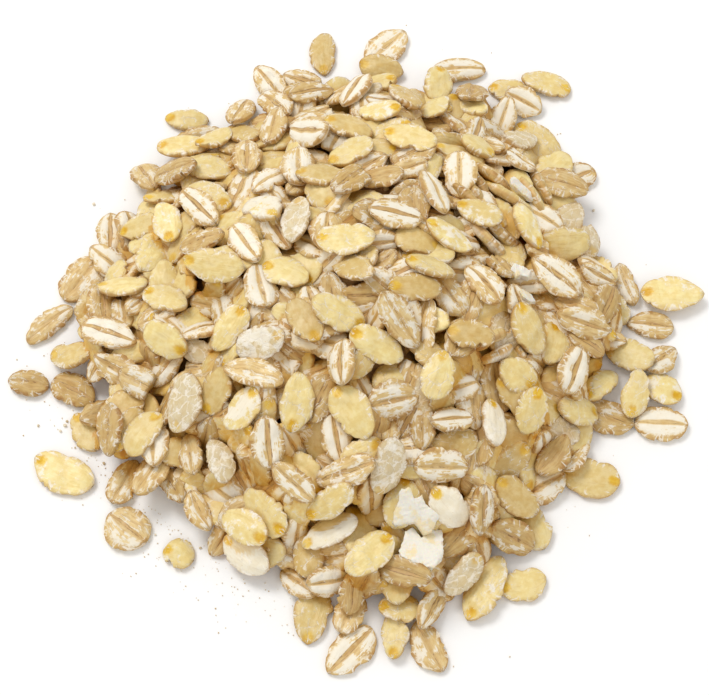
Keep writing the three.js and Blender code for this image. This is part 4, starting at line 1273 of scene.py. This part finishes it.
# Slabs of starch that lie on the flakes: x and y, how far up, height, and the corners of the outline.
STARCH_SLABS = [
    (9.7, -38.6, 0.9, 1.5, [
        (-3.2, -0.7), (-2.2, 2.3), (-1.2, 3.3), (0.1, 1.5), (1.6, 3.0),
        (3.2, 2.9), (3.2, -1.5), (1.6, -3.3), (-0.5, -2.8), (-2.9, -1.5),
    ]),
    (8.9, -34.0, 0.8, 1.3, [
        (-3.4, -1.2), (-2.8, 0.8), (-2.1, 2.7), (-0.8, 3.0), (-0.2, 1.5), (0.9, 2.0),
        (1.3, 1.0), (3.4, -0.6), (2.6, -2.2), (1.3, -3.0), (-0.1, -1.3), (-3.0, -1.7),
    ]),
    (25.4, 3.5, 0.6, 1.4, [
        (-1.7, -0.4), (-1.0, 1.3), (0.5, 1.1), (1.8, 0.6), (1.3, -0.9), (0.1, -0.7), (-1.0, -1.4),
    ]),
    (26.3, -0.6, 0.5, 1.2, [(-1.4, 0.3), (-0.5, 1.2), (0.9, 0.9), (1.4, -0.3), (0.4, -1.1), (-0.8, -0.9)]),
    (26.6, 19.6, 1.2, 1.3, [(-2.0, 0.9), (-1.3, 1.6), (2.0, -0.2), (2.1, -1.2), (1.1, -1.3), (-1.9, 0.0)]),
]
CRUMBS = 170
CRUMB_SIDE = (222, 20)  # degrees from +X to the middle of most of the crumbs, and how widely they spread
CRUMB_SPREAD = 3.6  # how far most of them lie from the heap's rim
CRUMB_REACH = 11  # the farthest that one lies from it


def starch_slabs():
    """The slabs with their heights and slopes, taken from the flakes that they lie on."""
    slabs = []
    for x, y, up, height, outline in STARCH_SLABS:
        to_x, to_y = SLAB_SPAN * np.array([[0, 1, -1, 0, 0], [0, 0, 0, 1, -1]])
        z = mean_height(x + to_x, y + to_y)
        slope = ((z[1] - z[2]) / (2 * SLAB_SPAN), (z[3] - z[4]) / (2 * SLAB_SPAN))
        slabs.append(((x, y, float(z[0]) + up), slope, outline, height))
    return slabs


def crumbs():
    """Crumbs on the table, most of them along the near left side of the heap."""
    rng = np.random.default_rng(CRUMB_SEED)
    found = []
    while len(found) < CRUMBS:
        angle = math.radians(rng.normal(*CRUMB_SIDE) if rng.random() < 0.8 else rng.uniform(0, 360))
        foot = float(rim_radius(angle))
        radius = foot + rng.exponential(CRUMB_SPREAD) + 0.5
        x, y = radius * math.cos(angle), radius * math.sin(angle)
        size = rng.uniform(0.1, 0.3) if rng.random() < 0.95 else rng.uniform(0.35, 0.7)
        if radius > foot + CRUMB_REACH or heights[cell_at(x, y)] > 0:
            continue
        turn = np.sort(rng.uniform(0, 2 * math.pi, 3)) / 3 + np.arange(3) * 2 * math.pi / 3
        turn = np.concatenate([turn, turn + 1])
        reach = 0.5 * size * rng.uniform(0.6, 1.1, 6)
        outline = np.stack([reach * np.cos(turn), reach * np.sin(turn)], axis=1)
        found.append(((x, y, 0.3 * size), (0, 0), outline, 0.6 * size))
    return found


# ---------------------------------------------------------------- the object

# The pieces of whole flakes: whether the crease is up, and the looks.
KINDS = {
    "mixed_flakes": (True, ("mixed",)),
    "white_flakes": (True, ("white", "starchy")),
    "brown_flakes": (True, ("brown", "tan")),
    "cream_flakes": (False, ("cream",)),
    "tan_flakes": (False, ("tan",)),
    "pale_flakes": (False, ("pale", "grey", "starchy")),
}

barley = flake_material()
loose = list(range(len(LOOSE_FLAKES)))
rest = [k for k in range(len(LOOSE_FLAKES), len(flakes)) if k not in left_out]
kinds = {"broken_flakes": [k for k in rest if flakes[k]["break_at"] < 1]}
for name, (crease_up, looks) in KINDS.items():
    whole = [k for k in rest if flakes[k]["break_at"] == 1 and flakes[k]["crease_up"] == crease_up]
    kinds[name] = [k for k in whole if look_of(flakes[k], k)[0] in looks]
core = core_piece(painted_shade_core_material())
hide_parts("barley_heap")
for name, numbers in kinds.items():
    piece = flake_piece(name, numbers, barley)
    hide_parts("barley_heap")
for k in loose:
    piece = flake_piece(f"stray_flake_{k + 1}", [k], barley)
    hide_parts(f"loose_flake_{k + 1}")
lump_piece("starch_lumps", starch_slabs(), starch_material(), columns=110, rings=40)
lump_piece("crumbs", crumbs(), crumb_material(), columns=7, rings=4)

# ---------------------------------------------------------------- table, light and camera

TABLE_HALF = 0.6

mesh = bpy.data.meshes.new("table")
corners = [(x * TABLE_HALF, y * TABLE_HALF, 0) for x, y in ((-1, -1), (1, -1), (1, 1), (-1, 1))]
mesh.from_pydata(corners, [], [(0, 1, 2, 3)])
mesh.materials.append(table_material())
table = add_object("table", mesh)


def aim(thing, place, direction):
    thing.location = place
    thing.rotation_mode = "QUATERNION"
    thing.rotation_quaternion = direction.to_track_quat("-Z", "Y")


def area_light(name, place, size, power):
    light = bpy.data.lights.new(name, "AREA")
    light.shape = "DISK"
    light.size = size
    light.energy = power
    aim(add_object(name, light), place, -Vector(place))


area_light("key", (-0.28, 0.3, 0.62), 0.3, 2.5)
area_light("fill", (0.4, -0.5, 0.6), 0.6, 0.5)

scene = bpy.context.scene
scene.world = bpy.data.worlds.new("studio")
scene.world.use_nodes = True
background = scene.world.node_tree.nodes["Background"]
background.inputs["Color"].default_value = (1.0, 0.99, 0.98, 1)
background.inputs["Strength"].default_value = 0.75
scene.view_settings.view_transform = "Standard"
scene.view_settings.look = "None"
scene.view_settings.exposure = 0.0

CAMERA_ELEVATION = math.radians(66)  # above the table
CAMERA_DISTANCE = 0.25
CAMERA_TARGET = Vector((-0.8, -6.5, 6.0)) * MM
FOCAL_PIXELS = 1613
IMAGE_WIDTH = 709
SENSOR_WIDTH = 36

camera_data = bpy.data.cameras.new("camera")
camera_data.sensor_width = SENSOR_WIDTH
camera_data.lens = FOCAL_PIXELS / IMAGE_WIDTH * SENSOR_WIDTH
camera_data.clip_start = 0.01
camera_data.clip_end = 10
scene.camera = add_object("camera", camera_data)
back = Vector((0, -math.cos(CAMERA_ELEVATION), math.sin(CAMERA_ELEVATION)))
aim(scene.camera, CAMERA_TARGET + back * CAMERA_DISTANCE, -back)
